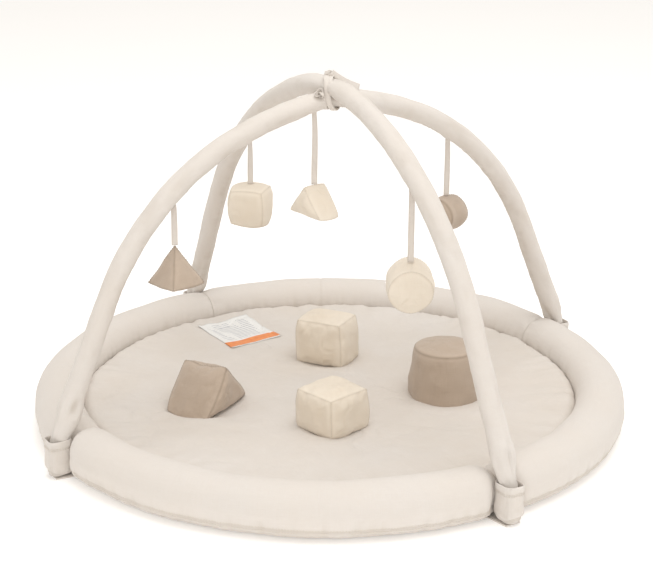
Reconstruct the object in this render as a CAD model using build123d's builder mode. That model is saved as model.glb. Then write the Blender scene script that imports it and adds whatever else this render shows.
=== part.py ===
"""Activity play gym: round padded mat, two crossing padded arches, hanging toys and loose blocks.

Millimetres, +Z up, origin at the centre of the mat on the floor.
The lower arch stands in the X-Z plane and the upper arch in the Y-Z plane.
"""

from build123d import *
import os
from math import atan2, cos, degrees, pi, radians, sin, tan

os.makedirs("parts", exist_ok=True)

# ---------------------------------------------------------------- driving dimensions
CLOTH = 1.0  # sewn cotton skin
GAP = 0.3  # air between layers, and between pieces that move apart

# padded mat
BASE_RADIUS = 452.0
BASE_THICK = 2.0
PAD_RADIUS = 397.0
PAD_TOP = 36.0
PAD_EDGE_ROUND = 9.0

# round bolster that borders the mat, in four lengths that meet at a pinch seam behind each foot pocket
BORDER_RING_RADIUS = 438.5
BORDER_RADIUS = 38.5
BORDER_HEIGHT = 38.7  # height of the bolster's own centre line
BORDER_TAPER = 52.0  # it slims down over this distance from each seam
BORDER_TAPER_STEPS = 5
PINCH_RADIUS = 23.0
PINCH_GAP = 0.5

# foot pockets
POCKET_WALL = 1.4
POCKET_SLACK = 0.6  # free room round the foot on each side
POCKET_TOP = 62.0
POCKET_FLOOR = 2.0
POCKET_CORNER = 9.0

# arches
SLEEVE_RADIUS = 15.0
FOOT_RADIUS = 12.0
ROD_RADIUS = 4.75
CAP_RADIUS = 6.5
CAP_LENGTH = 16.0
CAP_FLOOR = 3.0
FOOT_BEND_RADIUS = 80.0  # the leaning leg straightens inside its pocket
TAPER_LENGTH = 42.0
LOWER_CROWN = 513.5  # centre line at the crossing
UPPER_CROWN = LOWER_CROWN + 2 * SLEEVE_RADIUS + 0.5

# crossing tie
TIE_WIDTH = 8.0
TIE_THICK = 1.2
TIE_CORNER = 15.0
KNOT_RADIUS = 5.5
KNOT_SINK = 0.5  # the knot is a ball cut flat, its centre this part of its radius above the cut
TAIL_LENGTH = 40.0
TAIL_WIDTH = 7.0
TAIL_START = 19.0
TAIL_CLEARANCE = 1.6

# hanging toys
RIBBON_WIDTH = 9.5
RIBBON_THICK = 1.2
RIBBON_TWIST_STEPS = 6
RIBBON_TOP_GAP = 1.4  # sewn end to the sleeve's skin, so that it can swing
RIBBON_FOOT_GAP = 0.8

# corners of the sewn cubes
TOY_CORNER = 9.0
BLOCK_CORNER = 7.0

# care label
LABEL_SIZE = (102.0, 118.0)
LABEL_CENTRE = (-2.0, 300.0)
LABEL_TURN = 3.0
LABEL_THICK = 0.5

pocket_bottom = BASE_THICK + GAP
foot_bottom = pocket_bottom + POCKET_FLOOR + GAP
pad_bottom = BASE_THICK + GAP
mat_surface = PAD_TOP + GAP


def save(builder, name):
    """Label a finished piece and write it under its own name."""
    builder.part.label = name
    export_step(builder.part, f"parts/{name}.step")


# ---------------------------------------------------------------- arches
class Arch:
    """Centre line of one arch, drawn in its own vertical plane as (across, up)."""

    def __init__(self, plane, crown, crown_radius, crown_turn, shoulder_radius, lean):
        self.plane = plane
        self.crown = crown
        self.crown_radius = crown_radius
        self.crown_turn = crown_turn
        self.shoulder_radius = shoulder_radius
        self.lean = lean
        turn = radians(crown_turn)
        slope = radians(90 - lean)
        self.crown_centre = (0, crown - crown_radius)
        self.crown_end = (crown_radius * sin(turn), crown - crown_radius * (1 - cos(turn)))
        self.shoulder_centre = (
            self.crown_end[0] - shoulder_radius * sin(turn),
            self.crown_end[1] - shoulder_radius * cos(turn),
        )
        self.shoulder_end = (
            self.shoulder_centre[0] + shoulder_radius * sin(slope),
            self.shoulder_centre[1] + shoulder_radius * cos(slope),
        )
        # the leg leans until it enters its pocket
        drop = self.shoulder_end[1] - POCKET_TOP
        self.bend_start = (self.shoulder_end[0] + drop * tan(radians(lean)), POCKET_TOP)
        self.taper_start = (
            self.bend_start[0] - TAPER_LENGTH * sin(radians(lean)),
            self.bend_start[1] + TAPER_LENGTH * cos(radians(lean)),
        )
        self.bend_run = FOOT_BEND_RADIUS * (1 - cos(radians(lean)))
        self.foot_across = self.bend_start[0] + self.bend_run
        self.bend_end = (self.foot_across, POCKET_TOP - FOOT_BEND_RADIUS * sin(radians(lean)))
        self.bend_centre = (self.foot_across - FOOT_BEND_RADIUS, self.bend_end[1])

    def height(self, across):
        """Height of the centre line at a distance from the middle."""
        across = abs(across)
        if across < self.crown_end[0]:
            centre, radius = self.crown_centre, self.crown_radius
        else:
            centre, radius = self.shoulder_centre, self.shoulder_radius
        return centre[1] + (radius**2 - (across - centre[0]) ** 2) ** 0.5

    def slope(self, across):
        """Angle of the centre line below level, in degrees."""
        across = abs(across)
        centre = self.crown_centre if across < self.crown_end[0] else self.shoulder_centre
        return degrees(atan2(across - centre[0], self.height(across) - centre[1]))

    def underside(self, across):
        """Height of the sleeve's lowest skin at a distance from the middle."""
        return self.height(across) - SLEEVE_RADIUS / cos(radians(self.slope(across)))

    def crown_wire(self):
        """From one taper over the top to the other."""
        shoulder_sweep = 90 - self.lean - self.crown_turn
        across, up = self.shoulder_centre
        with BuildLine(self.plane) as line:
            CenterArc(self.crown_centre, self.crown_radius, 90 - self.crown_turn, 2 * self.crown_turn)
            CenterArc((across, up), self.shoulder_radius, self.lean, shoulder_sweep)
            CenterArc((-across, up), self.shoulder_radius, 90 + self.crown_turn, shoulder_sweep)
            for side in (1, -1):
                Line(
                    (side * self.shoulder_end[0], self.shoulder_end[1]),
                    (side * self.taper_start[0], self.taper_start[1]),
                )
        return line.wire()

    def foot_wire(self, side, bottom):
        """From the pocket's mouth down to the foot's end."""
        across, up = self.bend_centre
        start_angle = 0 if side > 0 else 180 - self.lean
        with BuildLine(self.plane) as line:
            CenterArc((side * across, up), FOOT_BEND_RADIUS, start_angle, self.lean)
            Line((side * self.foot_across, up), (side * self.foot_across, bottom))
        return line.wire()

    def point(self, across, up):
        return self.plane.from_local_coords(Vector(across, up, 0))


def round_bar(arch, radius, foot_radius, bottom):
    """A round solid that follows one arch and thins towards both feet."""
    crown = arch.crown_wire()
    with BuildPart() as bar:
        with BuildSketch(Plane(origin=crown @ 0, z_dir=crown % 0)):
            Circle(radius)
        sweep(path=crown)
        for side in (1, -1):
            top = arch.point(side * arch.taper_start[0], arch.taper_start[1])
            mouth = arch.point(side * arch.bend_start[0], arch.bend_start[1])
            down = mouth - top
            with BuildSketch(Plane(origin=top, z_dir=down)):
                Circle(radius)
            with BuildSketch(Plane(origin=mouth, z_dir=down)):
                Circle(foot_radius)
            loft()
            foot = arch.foot_wire(side, bottom)
            end = arch.point(side * arch.foot_across, bottom)
            with BuildSketch(Plane(origin=end, z_dir=(0, 0, 1))):
                Circle(foot_radius)
            sweep(path=foot)
    return bar.part


def build_arch(arch, prefix):
    """Rod, foam tube, fabric sleeve and end caps of one arch."""
    rod_bottom = foot_bottom + CLOTH + GAP + CAP_FLOOR + GAP
    foam_bottom = foot_bottom + CLOTH + CAP_LENGTH + 2 * GAP
    foam_radius = SLEEVE_RADIUS - CLOTH - GAP
    foam_foot_radius = FOOT_RADIUS - CLOTH - GAP

    with BuildPart() as rod:
        add(round_bar(arch, ROD_RADIUS, ROD_RADIUS, rod_bottom))
    save(rod, f"{prefix}_rod")

    with BuildPart() as foam:
        add(round_bar(arch, foam_radius, foam_foot_radius, foam_bottom))
        add(round_bar(arch, ROD_RADIUS + GAP, ROD_RADIUS + GAP, foot_bottom), mode=Mode.SUBTRACT)
    save(foam, f"{prefix}_foam")

    with BuildPart() as sleeve:
        add(round_bar(arch, SLEEVE_RADIUS, FOOT_RADIUS, foot_bottom))
        inner = round_bar(arch, SLEEVE_RADIUS - CLOTH, FOOT_RADIUS - CLOTH, foot_bottom + CLOTH)
        add(inner, mode=Mode.SUBTRACT)
    save(sleeve, f"{prefix}_sleeve")

    cap_bottom = foot_bottom + CLOTH + GAP
    with BuildPart() as caps:
        for side in (1, -1):
            seat = arch.point(side * arch.foot_across, cap_bottom)
            with BuildSketch(Plane(origin=seat, z_dir=(0, 0, 1))):
                Circle(CAP_RADIUS)
            extrude(amount=CAP_LENGTH)
            bore = arch.point(side * arch.foot_across, cap_bottom + CAP_FLOOR)
            with BuildSketch(Plane(origin=bore, z_dir=(0, 0, 1))):
                Circle(ROD_RADIUS + GAP)
            extrude(amount=CAP_LENGTH, mode=Mode.SUBTRACT)
    save(caps, f"{prefix}_end_caps")


lower_arch = Arch(Plane.XZ, LOWER_CROWN, 425.0, 14.0, 425.0, 23.7)
upper_arch = Arch(Plane.YZ, UPPER_CROWN, 200.0, 14.0, 500.0, 25.0)
build_arch(lower_arch, "lower_arch")
build_arch(upper_arch, "upper_arch")


# ---------------------------------------------------------------- crossing tie
# The loop stands in the vertical plane half way between the two arches.
tie_plane = Plane(origin=(0, 0, 0), x_dir=(1, 1, 0), z_dir=(-1, 1, 0))
tie_top = UPPER_CROWN + SLEEVE_RADIUS + GAP
tie_bottom = LOWER_CROWN - SLEEVE_RADIUS - GAP
# a sleeve cut at 45 degrees is wider than it is thick, and the band has a width of its own
tie_room = 2 * (SLEEVE_RADIUS * 2**0.5 + TIE_WIDTH / 2 + 2 * GAP)
with BuildPart() as tie_loop:
    with BuildSketch(tie_plane):
        with Locations((0, -(tie_top + tie_bottom) / 2)):
            RectangleRounded(
                tie_room + 2 * TIE_THICK, tie_top - tie_bottom + 2 * TIE_THICK, TIE_CORNER + TIE_THICK
            )
            RectangleRounded(tie_room, tie_top - tie_bottom, TIE_CORNER, mode=Mode.SUBTRACT)
    extrude(amount=TIE_WIDTH / 2, both=True)
save(tie_loop, "crossing_tie_loop")

# The knot sits on top of the upper arch, and the loose tail lies along the lower one.
band_top = UPPER_CROWN + SLEEVE_RADIUS + GAP + TIE_THICK
knot_bottom = band_top + GAP
knot_centre = knot_bottom + KNOT_SINK * KNOT_RADIUS
with BuildPart() as tie_knot:
    with Locations((0, 0, knot_centre)):
        Sphere(KNOT_RADIUS)
    split(bisect_by=Plane.XY.offset(knot_bottom))
save(tie_knot, "crossing_tie_knot")

tail_middle = TAIL_START + TAIL_LENGTH / 2
tail_height = lower_arch.height(tail_middle) + SLEEVE_RADIUS + TAIL_CLEARANCE
with BuildPart() as tie_tail:
    tail_direction = Vector(1, 0, -tan(radians(lower_arch.slope(tail_middle))))
    with BuildSketch(Plane(origin=(tail_middle, 0, tail_height), x_dir=(0, 1, 0), z_dir=tail_direction)):
        Rectangle(TAIL_WIDTH, TIE_THICK)
    extrude(amount=TAIL_LENGTH / 2, both=True)
save(tie_tail, "crossing_tie_tail")


# ---------------------------------------------------------------- mat
foot_places = (
    (0, lower_arch.foot_across, lower_arch.bend_run, lower_arch.lean),
    (90, upper_arch.foot_across, upper_arch.bend_run, upper_arch.lean),
    (180, lower_arch.foot_across, lower_arch.bend_run, lower_arch.lean),
    (270, upper_arch.foot_across, upper_arch.bend_run, upper_arch.lean),
)
pocket_names = ("pocket_right_back", "pocket_left_back", "pocket_left_front", "pocket_right_front")
pocket_half_width = FOOT_RADIUS + POCKET_SLACK + POCKET_WALL


def pocket_span(foot_across, bend_run, lean):
    """Inner and outer distance of a pocket's room from the middle of the mat."""
    near = foot_across - bend_run - FOOT_RADIUS / cos(radians(lean)) - POCKET_SLACK
    far = foot_across + FOOT_RADIUS + POCKET_SLACK
    return near, far


with BuildPart() as base_cloth:
    with BuildSketch(Plane.XY):
        Circle(BASE_RADIUS)
        for turn, foot_across, bend_run, lean in foot_places:
            tab_end = pocket_span(foot_across, bend_run, lean)[1] + POCKET_WALL
            with Locations(Rotation(0, 0, turn)):
                with Locations((tab_end / 2, 0)):
                    Rectangle(tab_end, 2 * pocket_half_width)
    extrude(amount=BASE_THICK)
save(base_cloth, "base_cloth")

with BuildPart() as mat_cover:
    with BuildSketch(Plane.XY.offset(pad_bottom)):
        Circle(PAD_RADIUS)
    extrude(amount=PAD_TOP - pad_bottom)
    fillet(mat_cover.faces().sort_by(Axis.Z)[-1].edges(), PAD_EDGE_ROUND)
    with BuildSketch(Plane.XY.offset(pad_bottom)):
        Circle(PAD_RADIUS - CLOTH)
    extrude(amount=PAD_TOP - CLOTH - PAD_EDGE_ROUND - pad_bottom, mode=Mode.SUBTRACT)
    with BuildSketch(Plane.XY.offset(pad_bottom)):
        Circle(PAD_RADIUS - PAD_EDGE_ROUND)
    extrude(amount=PAD_TOP - CLOTH - pad_bottom, mode=Mode.SUBTRACT)
save(mat_cover, "mat_cover")

with BuildPart() as mat_wadding:
    with BuildSketch(Plane.XY.offset(pad_bottom)):
        Circle(PAD_RADIUS - CLOTH - GAP)
    extrude(amount=PAD_TOP - CLOTH - PAD_EDGE_ROUND - GAP - pad_bottom)
    with BuildSketch(Plane.XY.offset(pad_bottom)):
        Circle(PAD_RADIUS - PAD_EDGE_ROUND - GAP)
    extrude(amount=PAD_TOP - CLOTH - GAP - pad_bottom)
save(mat_wadding, "mat_wadding")

with BuildPart() as care_label:
    with BuildSketch(Plane.XY.offset(mat_surface - GAP / 2)):
        with Locations(Location((*LABEL_CENTRE, 0), (0, 0, LABEL_TURN))):
            Rectangle(*LABEL_SIZE)
    extrude(amount=LABEL_THICK)
save(care_label, "care_label")

border_names = ("border_back", "border_left", "border_front", "border_right")


def bolster_section(away, inset):
    """Ring radius, height and radius of the round section at a distance from the pinch seam."""
    share = sin(min(1.0, away / BORDER_TAPER) * pi / 2)
    radius = PINCH_RADIUS + (BORDER_RADIUS - PINCH_RADIUS) * share
    centre_height = radius + BORDER_HEIGHT - BORDER_RADIUS
    return BORDER_RING_RADIUS - BORDER_RADIUS + radius, centre_height, radius - inset


def bolster(start, inset, flat):
    """A quarter of the round border, slimmer towards the pinch seam at each end, with a flattened foot."""
    taper_turn = degrees(BORDER_TAPER / BORDER_RING_RADIUS)
    ring, height, radius = bolster_section(BORDER_TAPER, inset)
    turn = radians(start + taper_turn)
    outward = Vector(cos(turn), sin(turn), 0)
    with BuildPart() as quarter:
        with BuildSketch(Plane((0, 0, 0), x_dir=outward, z_dir=outward.cross(Vector(0, 0, 1)))):
            with Locations((ring, height)):
                Circle(radius)
        revolve(axis=Axis.Z, revolution_arc=90 - 2 * taper_turn)
        for end, side in ((start, 1), (start + 90, -1)):
            for step in range(BORDER_TAPER_STEPS + 1):
                away = PINCH_GAP + inset + (BORDER_TAPER - PINCH_GAP - inset) * step / BORDER_TAPER_STEPS
                ring, height, radius = bolster_section(away, inset)
                turn = radians(end + side * degrees(away / BORDER_RING_RADIUS))
                outward = Vector(cos(turn), sin(turn), 0)
                with BuildSketch(Plane(outward * ring + Vector(0, 0, height), x_dir=outward,
                                       z_dir=outward.cross(Vector(0, 0, -side)))):
                    Circle(radius)
            loft()
        split(bisect_by=Plane.XY.offset(flat))
    return quarter.part


for quarter, name in enumerate(border_names):
    with BuildPart() as border_cover:
        add(bolster(90 * quarter, 0, pad_bottom))
        add(bolster(90 * quarter, CLOTH, pad_bottom + CLOTH), mode=Mode.SUBTRACT)
    save(border_cover, f"{name}_cover")
    with BuildPart() as border_filling:
        add(bolster(90 * quarter, CLOTH + GAP, pad_bottom + CLOTH + GAP))
    save(border_filling, f"{name}_filling")

for (turn, foot_across, bend_run, lean), name in zip(foot_places, pocket_names):
    near, far = pocket_span(foot_across, bend_run, lean)
    with BuildPart() as pocket:
        with BuildSketch(Plane.XY.offset(pocket_bottom)):
            with Locations(Rotation(0, 0, turn)):
                with Locations(((near + far) / 2, 0)):
                    RectangleRounded(far - near + 2 * POCKET_WALL, 2 * pocket_half_width, POCKET_CORNER)
        extrude(amount=POCKET_TOP - pocket_bottom)
        with BuildSketch(Plane.XY.offset(pocket_bottom + POCKET_FLOOR)):
            with Locations(Rotation(0, 0, turn)):
                with Locations(((near + far) / 2, 0)):
                    RectangleRounded(
                        far - near, 2 * (FOOT_RADIUS + POCKET_SLACK), POCKET_CORNER - POCKET_WALL
                    )
        extrude(amount=POCKET_TOP, mode=Mode.SUBTRACT)
    save(pocket, name)


# ---------------------------------------------------------------- soft shapes
def pyramid(side, height, shrink):
    """Square pyramid, apex at the origin, pulled in by shrink all round."""
    half = side / 2
    wall = (half**2 + height**2) ** 0.5
    apex_drop = shrink * wall / half
    inner_side = 2 * half * (height - shrink - apex_drop) / height
    with BuildPart() as solid:
        with BuildSketch(Plane.XY.offset(-height + shrink)):
            Rectangle(inner_side, inner_side)
        extrude(amount=height - shrink - apex_drop, taper=degrees(atan2(half, height)))
    return solid.part


def prism(base, length, height, shrink):
    """Wedge with its ridge along Y through the origin, pulled in by shrink all round."""
    slope = atan2(height, base / 2)
    ridge = -shrink / cos(slope)
    foot = -height + shrink
    half_foot = (ridge - foot) / tan(slope)
    with BuildPart() as solid:
        with BuildSketch(Plane.XZ):
            Polygon((0, ridge), (-half_foot, foot), (half_foot, foot), align=None)
        extrude(amount=length / 2 - shrink, both=True)
    return solid.part


def cuboid(width, depth, height, shrink, corner):
    """Box with rounded upright edges, top at the origin."""
    with BuildPart() as solid:
        with BuildSketch(Plane.XY.offset(-height + shrink)):
            RectangleRounded(width - 2 * shrink, depth - 2 * shrink, corner)
        extrude(amount=height - 2 * shrink)
    return solid.part


def roller(radius, length, shrink):
    """Cylinder lying along X, its top line through the origin."""
    with BuildPart() as solid:
        with BuildSketch(Plane.YZ):
            with Locations((0, -radius)):
                Circle(radius - shrink)
        extrude(amount=length / 2 - shrink, both=True)
    return solid.part


def drum(top_radius, bottom_radius, height, shrink):
    """Upright round block that narrows a little upwards, top at the origin."""
    with BuildPart() as solid:
        with BuildSketch(Plane.XY.offset(-height + shrink)):
            Circle(bottom_radius - shrink)
        with BuildSketch(Plane.XY.offset(-shrink)):
            Circle(top_radius - shrink)
        loft()
    return solid.part


def save_soft_shape(name, make, place):
    """Write a sewn cover and the stuffing inside it, both at their place."""
    with BuildPart() as cover:
        with Locations(place):
            add(make(0))
            add(make(CLOTH), mode=Mode.SUBTRACT)
    save(cover, f"{name}_cover")
    with BuildPart() as stuffing:
        with Locations(place):
            add(make(CLOTH + GAP))
    save(stuffing, f"{name}_stuffing")


def save_ribbon(name, top, length, turn):
    """A flat tape that hangs plumb and turns a quarter on its way down."""
    with BuildPart() as ribbon:
        for step in range(RIBBON_TWIST_STEPS + 1):
            share = step / RIBBON_TWIST_STEPS
            level = Vector(*top) - Vector(0, 0, share * length)
            with BuildSketch(Plane(level, x_dir=Vector(1, 0, 0).rotate(Axis.Z, turn + 90 * share))):
                Rectangle(RIBBON_WIDTH, RIBBON_THICK)
        loft()
    save(ribbon, name)


# name, arch, distance from the middle, level of the toy's top, turn of the toy, its shape
hanging_toys = (
    ("pyramid_toy", lower_arch, -274.0, 328.0, 13.0, lambda shrink: pyramid(60.0, 63.0, shrink)),
    ("cube_toy", upper_arch, 255.0, 324.0, 43.0, lambda shrink: cuboid(60.0, 60.0, 66.0, shrink, TOY_CORNER)),
    ("wedge_toy", lower_arch, -28.0, 387.0, 95.0, lambda shrink: prism(84.0, 40.0, 50.0, shrink)),
    ("disc_toy", lower_arch, 228.0, 330.0, 20.0, lambda shrink: roller(29.0, 44.0, shrink)),
    ("roller_toy", upper_arch, -226.0, 316.0, 58.0, lambda shrink: roller(35.0, 58.0, shrink)),
)
for name, arch, across, toy_top, turn, make in hanging_toys:
    ribbon_top = arch.underside(across) - RIBBON_TOP_GAP
    hang = arch.point(across, ribbon_top)
    foot = Vector(hang.X, hang.Y, toy_top + RIBBON_FOOT_GAP)
    width_turn = 90.0 if arch is lower_arch else 0.0
    ribbon_name = name.replace("_toy", "_ribbon")
    save_ribbon(ribbon_name, tuple(hang), ribbon_top - foot.Z, width_turn)
    save_soft_shape(name, make, Location((hang.X, hang.Y, toy_top), (0, 0, turn)))
    print(f"{ribbon_name}: top {hang.X:.1f}, {hang.Y:.1f}, {ribbon_top:.1f}; length {ribbon_top - foot.Z:.1f}")

# name, centre, turn, height, shape
loose_blocks = (
    ("rear_block", (69.0, 117.0), 32.0, 77.0, lambda s: cuboid(80.0, 92.0, 77.0, s, BLOCK_CORNER)),
    ("front_block", (-78.0, -134.0), 12.0, 66.0, lambda s: cuboid(88.0, 86.0, 66.0, s, BLOCK_CORNER)),
    ("drum_block", (146.0, -120.0), 0.0, 84.0, lambda s: drum(49.0, 56.0, 84.0, s)),
    ("wedge_block", (-202.0, 48.0), 30.0, 67.0, lambda s: prism(120.0, 80.0, 67.0, s)),
)
for name, (x, y), turn, height, make in loose_blocks:
    save_soft_shape(name, make, Location((x, y, mat_surface + height), (0, 0, turn)))

for label, arch in (("lower arch", lower_arch), ("upper arch", upper_arch)):
    print(f"{label}: foot {arch.foot_across:.1f}, mouth {arch.bend_start[0]:.1f}, run {arch.bend_run:.1f}")
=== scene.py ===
from math import atan2, ceil, cos, exp, pi, radians, sin, sqrt

import bmesh
import bpy
import numpy as np
from mathutils import Matrix, Vector, noise
from mathutils.kdtree import KDTree


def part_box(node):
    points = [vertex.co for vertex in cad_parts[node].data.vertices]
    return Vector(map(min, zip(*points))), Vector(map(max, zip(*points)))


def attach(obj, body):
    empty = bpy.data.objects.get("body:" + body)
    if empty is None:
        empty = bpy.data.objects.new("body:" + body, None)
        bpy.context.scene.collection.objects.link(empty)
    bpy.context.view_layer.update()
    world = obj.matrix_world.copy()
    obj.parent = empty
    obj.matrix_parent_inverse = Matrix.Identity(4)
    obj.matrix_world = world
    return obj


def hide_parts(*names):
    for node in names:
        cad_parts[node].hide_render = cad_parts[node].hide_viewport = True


# Activity play gym: the cloth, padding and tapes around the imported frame. Metres, +Z up.

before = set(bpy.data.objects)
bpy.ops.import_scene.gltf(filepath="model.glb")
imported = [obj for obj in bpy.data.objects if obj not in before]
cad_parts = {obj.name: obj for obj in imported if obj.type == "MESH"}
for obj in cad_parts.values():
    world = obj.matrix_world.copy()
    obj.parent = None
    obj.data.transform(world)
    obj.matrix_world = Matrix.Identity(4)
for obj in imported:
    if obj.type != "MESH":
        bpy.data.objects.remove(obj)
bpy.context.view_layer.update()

# ---------------------------------------------------------------- driving dimensions
BASE_RADIUS = 0.452
BASE_THICK = 0.002
TAB_HALF_WIDTH = 0.014
TAB_REACH = 0.006  # of the base cloth past the middle of an arch's foot

PAD_RADIUS = 0.4005
PAD_TOP = 0.0362
PAD_BOTTOM = 0.0023
PAD_EDGE = 0.016  # the top surface rolls down to the border over this distance

RING_RADIUS = 0.4385
BORDER_RADIUS = 0.0385
BORDER_CENTRE = 0.0387
BORDER_FLOOR = 0.0023
PINCH_RADIUS = 0.0285  # of the bolster's section where two lengths meet in front
PINCH_RADIUS_FAR = 0.0365  # and at the back, where it hardly dips
PINCH_LOBE = 0.036  # distance over which a length swells to its full size
POCKET_INNER = 0.4592  # the pockets' inner side

POCKET_BOTTOM = 0.0023
POCKET_TOP = 0.062
POCKET_WALL = 0.0016

SLEEVE_RADIUS = 0.0162
FOOT_RADIUS = 0.012
FOOT_BEND_RADIUS = 0.080
FOOT_BOTTOM = 0.0048
LOWER_CROWN = 0.5135
UPPER_CROWN = 0.544

TAPE_THICK = 0.0012
RIBBON_WIDTH = 0.0095
TIE_THICK = 0.0015

LABEL_WIDTH = 0.102
LABEL_LENGTH = 0.118
LABEL_TURN = radians(3)

THREAD_PITCH = 0.0009  # of the weave
SEWN_STEP = 0.0040  # of the grid on the stuffed pieces
STITCH_STEP = 0.0042
STITCH_LENGTH = 0.0030
STITCH_RADIUS = 0.00042

# each _SHADE colour is the darker tone the cotton mixes in: for its random blotches and uneven yarn, and as
# painted shade in creases and hollows
CREAM = (0.762, 0.724, 0.690)
CREAM_SHADE = (0.680, 0.600, 0.510)
TAUPE = (0.560, 0.460, 0.372)
TAUPE_SHADE = (0.400, 0.305, 0.225)
TOY_CREAM = (0.860, 0.790, 0.690)
TOY_CREAM_SHADE = (0.780, 0.655, 0.500)
THREAD_CREAM = (0.800, 0.735, 0.650)
THREAD_TAUPE = (0.500, 0.420, 0.345)


# ---------------------------------------------------------------- camera
CAMERA_TARGET = Vector((-0.004, 0.0025, 0.223))
CAMERA_DISTANCE = 2.6406
CAMERA_AZIMUTH = radians(-31.92)
CAMERA_ELEVATION = radians(18.72)
CAMERA_LENS = 90.65
SENSOR = 36.0

camera_data = bpy.data.cameras.new("camera")
camera_data.lens = CAMERA_LENS
camera_data.sensor_width = SENSOR
camera = bpy.data.objects.new("camera", camera_data)
bpy.context.collection.objects.link(camera)
towards_camera = Vector((
    sin(CAMERA_AZIMUTH) * cos(CAMERA_ELEVATION),
    -cos(CAMERA_AZIMUTH) * cos(CAMERA_ELEVATION),
    sin(CAMERA_ELEVATION),
))
camera.location = CAMERA_TARGET + CAMERA_DISTANCE * towards_camera
camera.rotation_euler = (-towards_camera).to_track_quat("-Z", "Y").to_euler()
bpy.context.scene.camera = camera


# ---------------------------------------------------------------- materials
class Nodes:
    """Short words for building one node material."""

    def __init__(self, name):
        self.material = bpy.data.materials.new(name)
        self.material.use_nodes = True
        self.tree = self.material.node_tree
        self.shader = self.tree.nodes["Principled BSDF"]

    def add(self, kind, **settings):
        node = self.tree.nodes.new(kind)
        for key, value in settings.items():
            setattr(node, key, value)
        return node

    def link(self, source, target):
        self.tree.links.new(source, target)

    def maths(self, operation, first, second=None):
        node = self.add("ShaderNodeMath", operation=operation)
        for socket, value in zip(node.inputs, (first, second)):
            if value is None:
                continue
            if isinstance(value, (int, float)):
                socket.default_value = value
            else:
                self.link(value, socket)
        return node.outputs[0]

    def noise(self, vector, scale, detail=2.0, roughness=0.5):
        node = self.add("ShaderNodeTexNoise")
        node.inputs["Scale"].default_value = scale
        node.inputs["Detail"].default_value = detail
        node.inputs["Roughness"].default_value = roughness
        self.link(vector, node.inputs["Vector"])
        return node.outputs["Fac"]

    def ramp(self, value, low, high, start=0.0, end=1.0):
        """value from low..high mapped to start..end, clamped."""
        node = self.add("ShaderNodeMapRange")
        node.inputs["From Min"].default_value = low
        node.inputs["From Max"].default_value = high
        node.inputs["To Min"].default_value = start
        node.inputs["To Max"].default_value = end
        self.link(value, node.inputs["Value"])
        return node.outputs["Result"]

    def mix(self, factor, first, second):
        node = self.add("ShaderNodeMix", data_type="RGBA")
        sockets = [s for s in node.inputs if s.enabled]
        for socket, value in zip(sockets, (factor, first, second)):
            if isinstance(value, (int, float)):
                socket.default_value = value
            elif isinstance(value, tuple):
                socket.default_value = (*value, 1.0)
            else:
                self.link(value, socket)
        return [s for s in node.outputs if s.enabled][0]

    def stretched(self, vector, scale):
        node = self.add("ShaderNodeMapping")
        node.inputs["Scale"].default_value = scale
        self.link(vector, node.inputs["Vector"])
        return node.outputs["Vector"]

    def bump(self, height, strength, distance, under=None):
        node = self.add("ShaderNodeBump")
        node.inputs["Strength"].default_value = strength
        node.inputs["Distance"].default_value = distance
        self.link(height, node.inputs["Height"])
        if under is not None:
            self.link(under, node.inputs["Normal"])
        return node.outputs["Normal"]


def cotton(name, colour, shade, pitch=THREAD_PITCH, wrinkle=1.0, sheen=0.25):
    """Plain woven cotton: threads both ways, uneven yarn, soft creases, painted shade in creases and
    hollows, worn ridges.
    """
    n = Nodes(name)
    uv = n.add("ShaderNodeUVMap", uv_map="cloth").outputs["UV"]
    place = n.add("ShaderNodeTexCoord").outputs["Object"]
    split = n.add("ShaderNodeSeparateXYZ")
    n.link(uv, split.inputs[0])
    warp = n.maths("SINE", n.maths("MULTIPLY", split.outputs[0], pi / pitch))
    weft = n.maths("SINE", n.maths("MULTIPLY", split.outputs[1], pi / pitch))
    weave = n.maths("MULTIPLY", warp, weft)

    # yarn thickness varies along each thread, in both directions
    along_warp = n.noise(n.stretched(uv, (1 / pitch, 40.0, 1.0)), 1.0)
    along_weft = n.noise(n.stretched(uv, (40.0, 1 / pitch, 1.0)), 1.0)
    yarn = n.maths("ADD", along_warp, along_weft)

    blotch = n.noise(place, 9.0, 3.0)
    crumple = n.noise(place, 55.0, 4.0, 0.55)
    fleck = n.ramp(n.noise(uv, 900.0, 1.0), 0.70, 0.78)

    base = n.mix(n.ramp(blotch, 0.3, 0.7, 0.0, 0.35), colour, shade)
    base = n.mix(n.ramp(yarn, 0.75, 1.25, 0.0, 0.22), base, shade)
    base = n.mix(n.ramp(weave, -1.0, 1.0, 0.16, 0.0), base, shade)
    base = n.mix(n.maths("MULTIPLY", fleck, 0.30), base, tuple(0.6 * c for c in shade))
    fold = n.add("ShaderNodeAttribute", attribute_name="fold").outputs["Fac"]
    worn = n.add("ShaderNodeAttribute", attribute_name="worn").outputs["Fac"]
    # painted shade: creases, grooves, hollows and seam lines that the mesh marks are darkened towards the
    # shade tone
    base = n.mix(n.maths("MULTIPLY", fold, 0.45), base, tuple(0.82 * c for c in shade))
    pale = tuple(min(1.0, 1.08 * c + 0.01) for c in colour)
    base = n.mix(n.maths("MULTIPLY", n.maths("MULTIPLY", worn, blotch), 0.8), base, pale)
    n.link(base, n.shader.inputs["Base Color"])
    n.link(n.ramp(yarn, 0.7, 1.3, 0.86, 0.97), n.shader.inputs["Roughness"])
    n.shader.inputs["Sheen Weight"].default_value = sheen
    n.shader.inputs["Sheen Roughness"].default_value = 0.55
    n.shader.inputs["Specular IOR Level"].default_value = 0.2

    soft = n.bump(crumple, 0.35 * wrinkle, 0.004)
    threads = n.maths("ADD", weave, n.maths("MULTIPLY", yarn, 0.8))
    n.link(n.bump(threads, 0.55, pitch * 0.35, soft), n.shader.inputs["Normal"])
    return n.material


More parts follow.
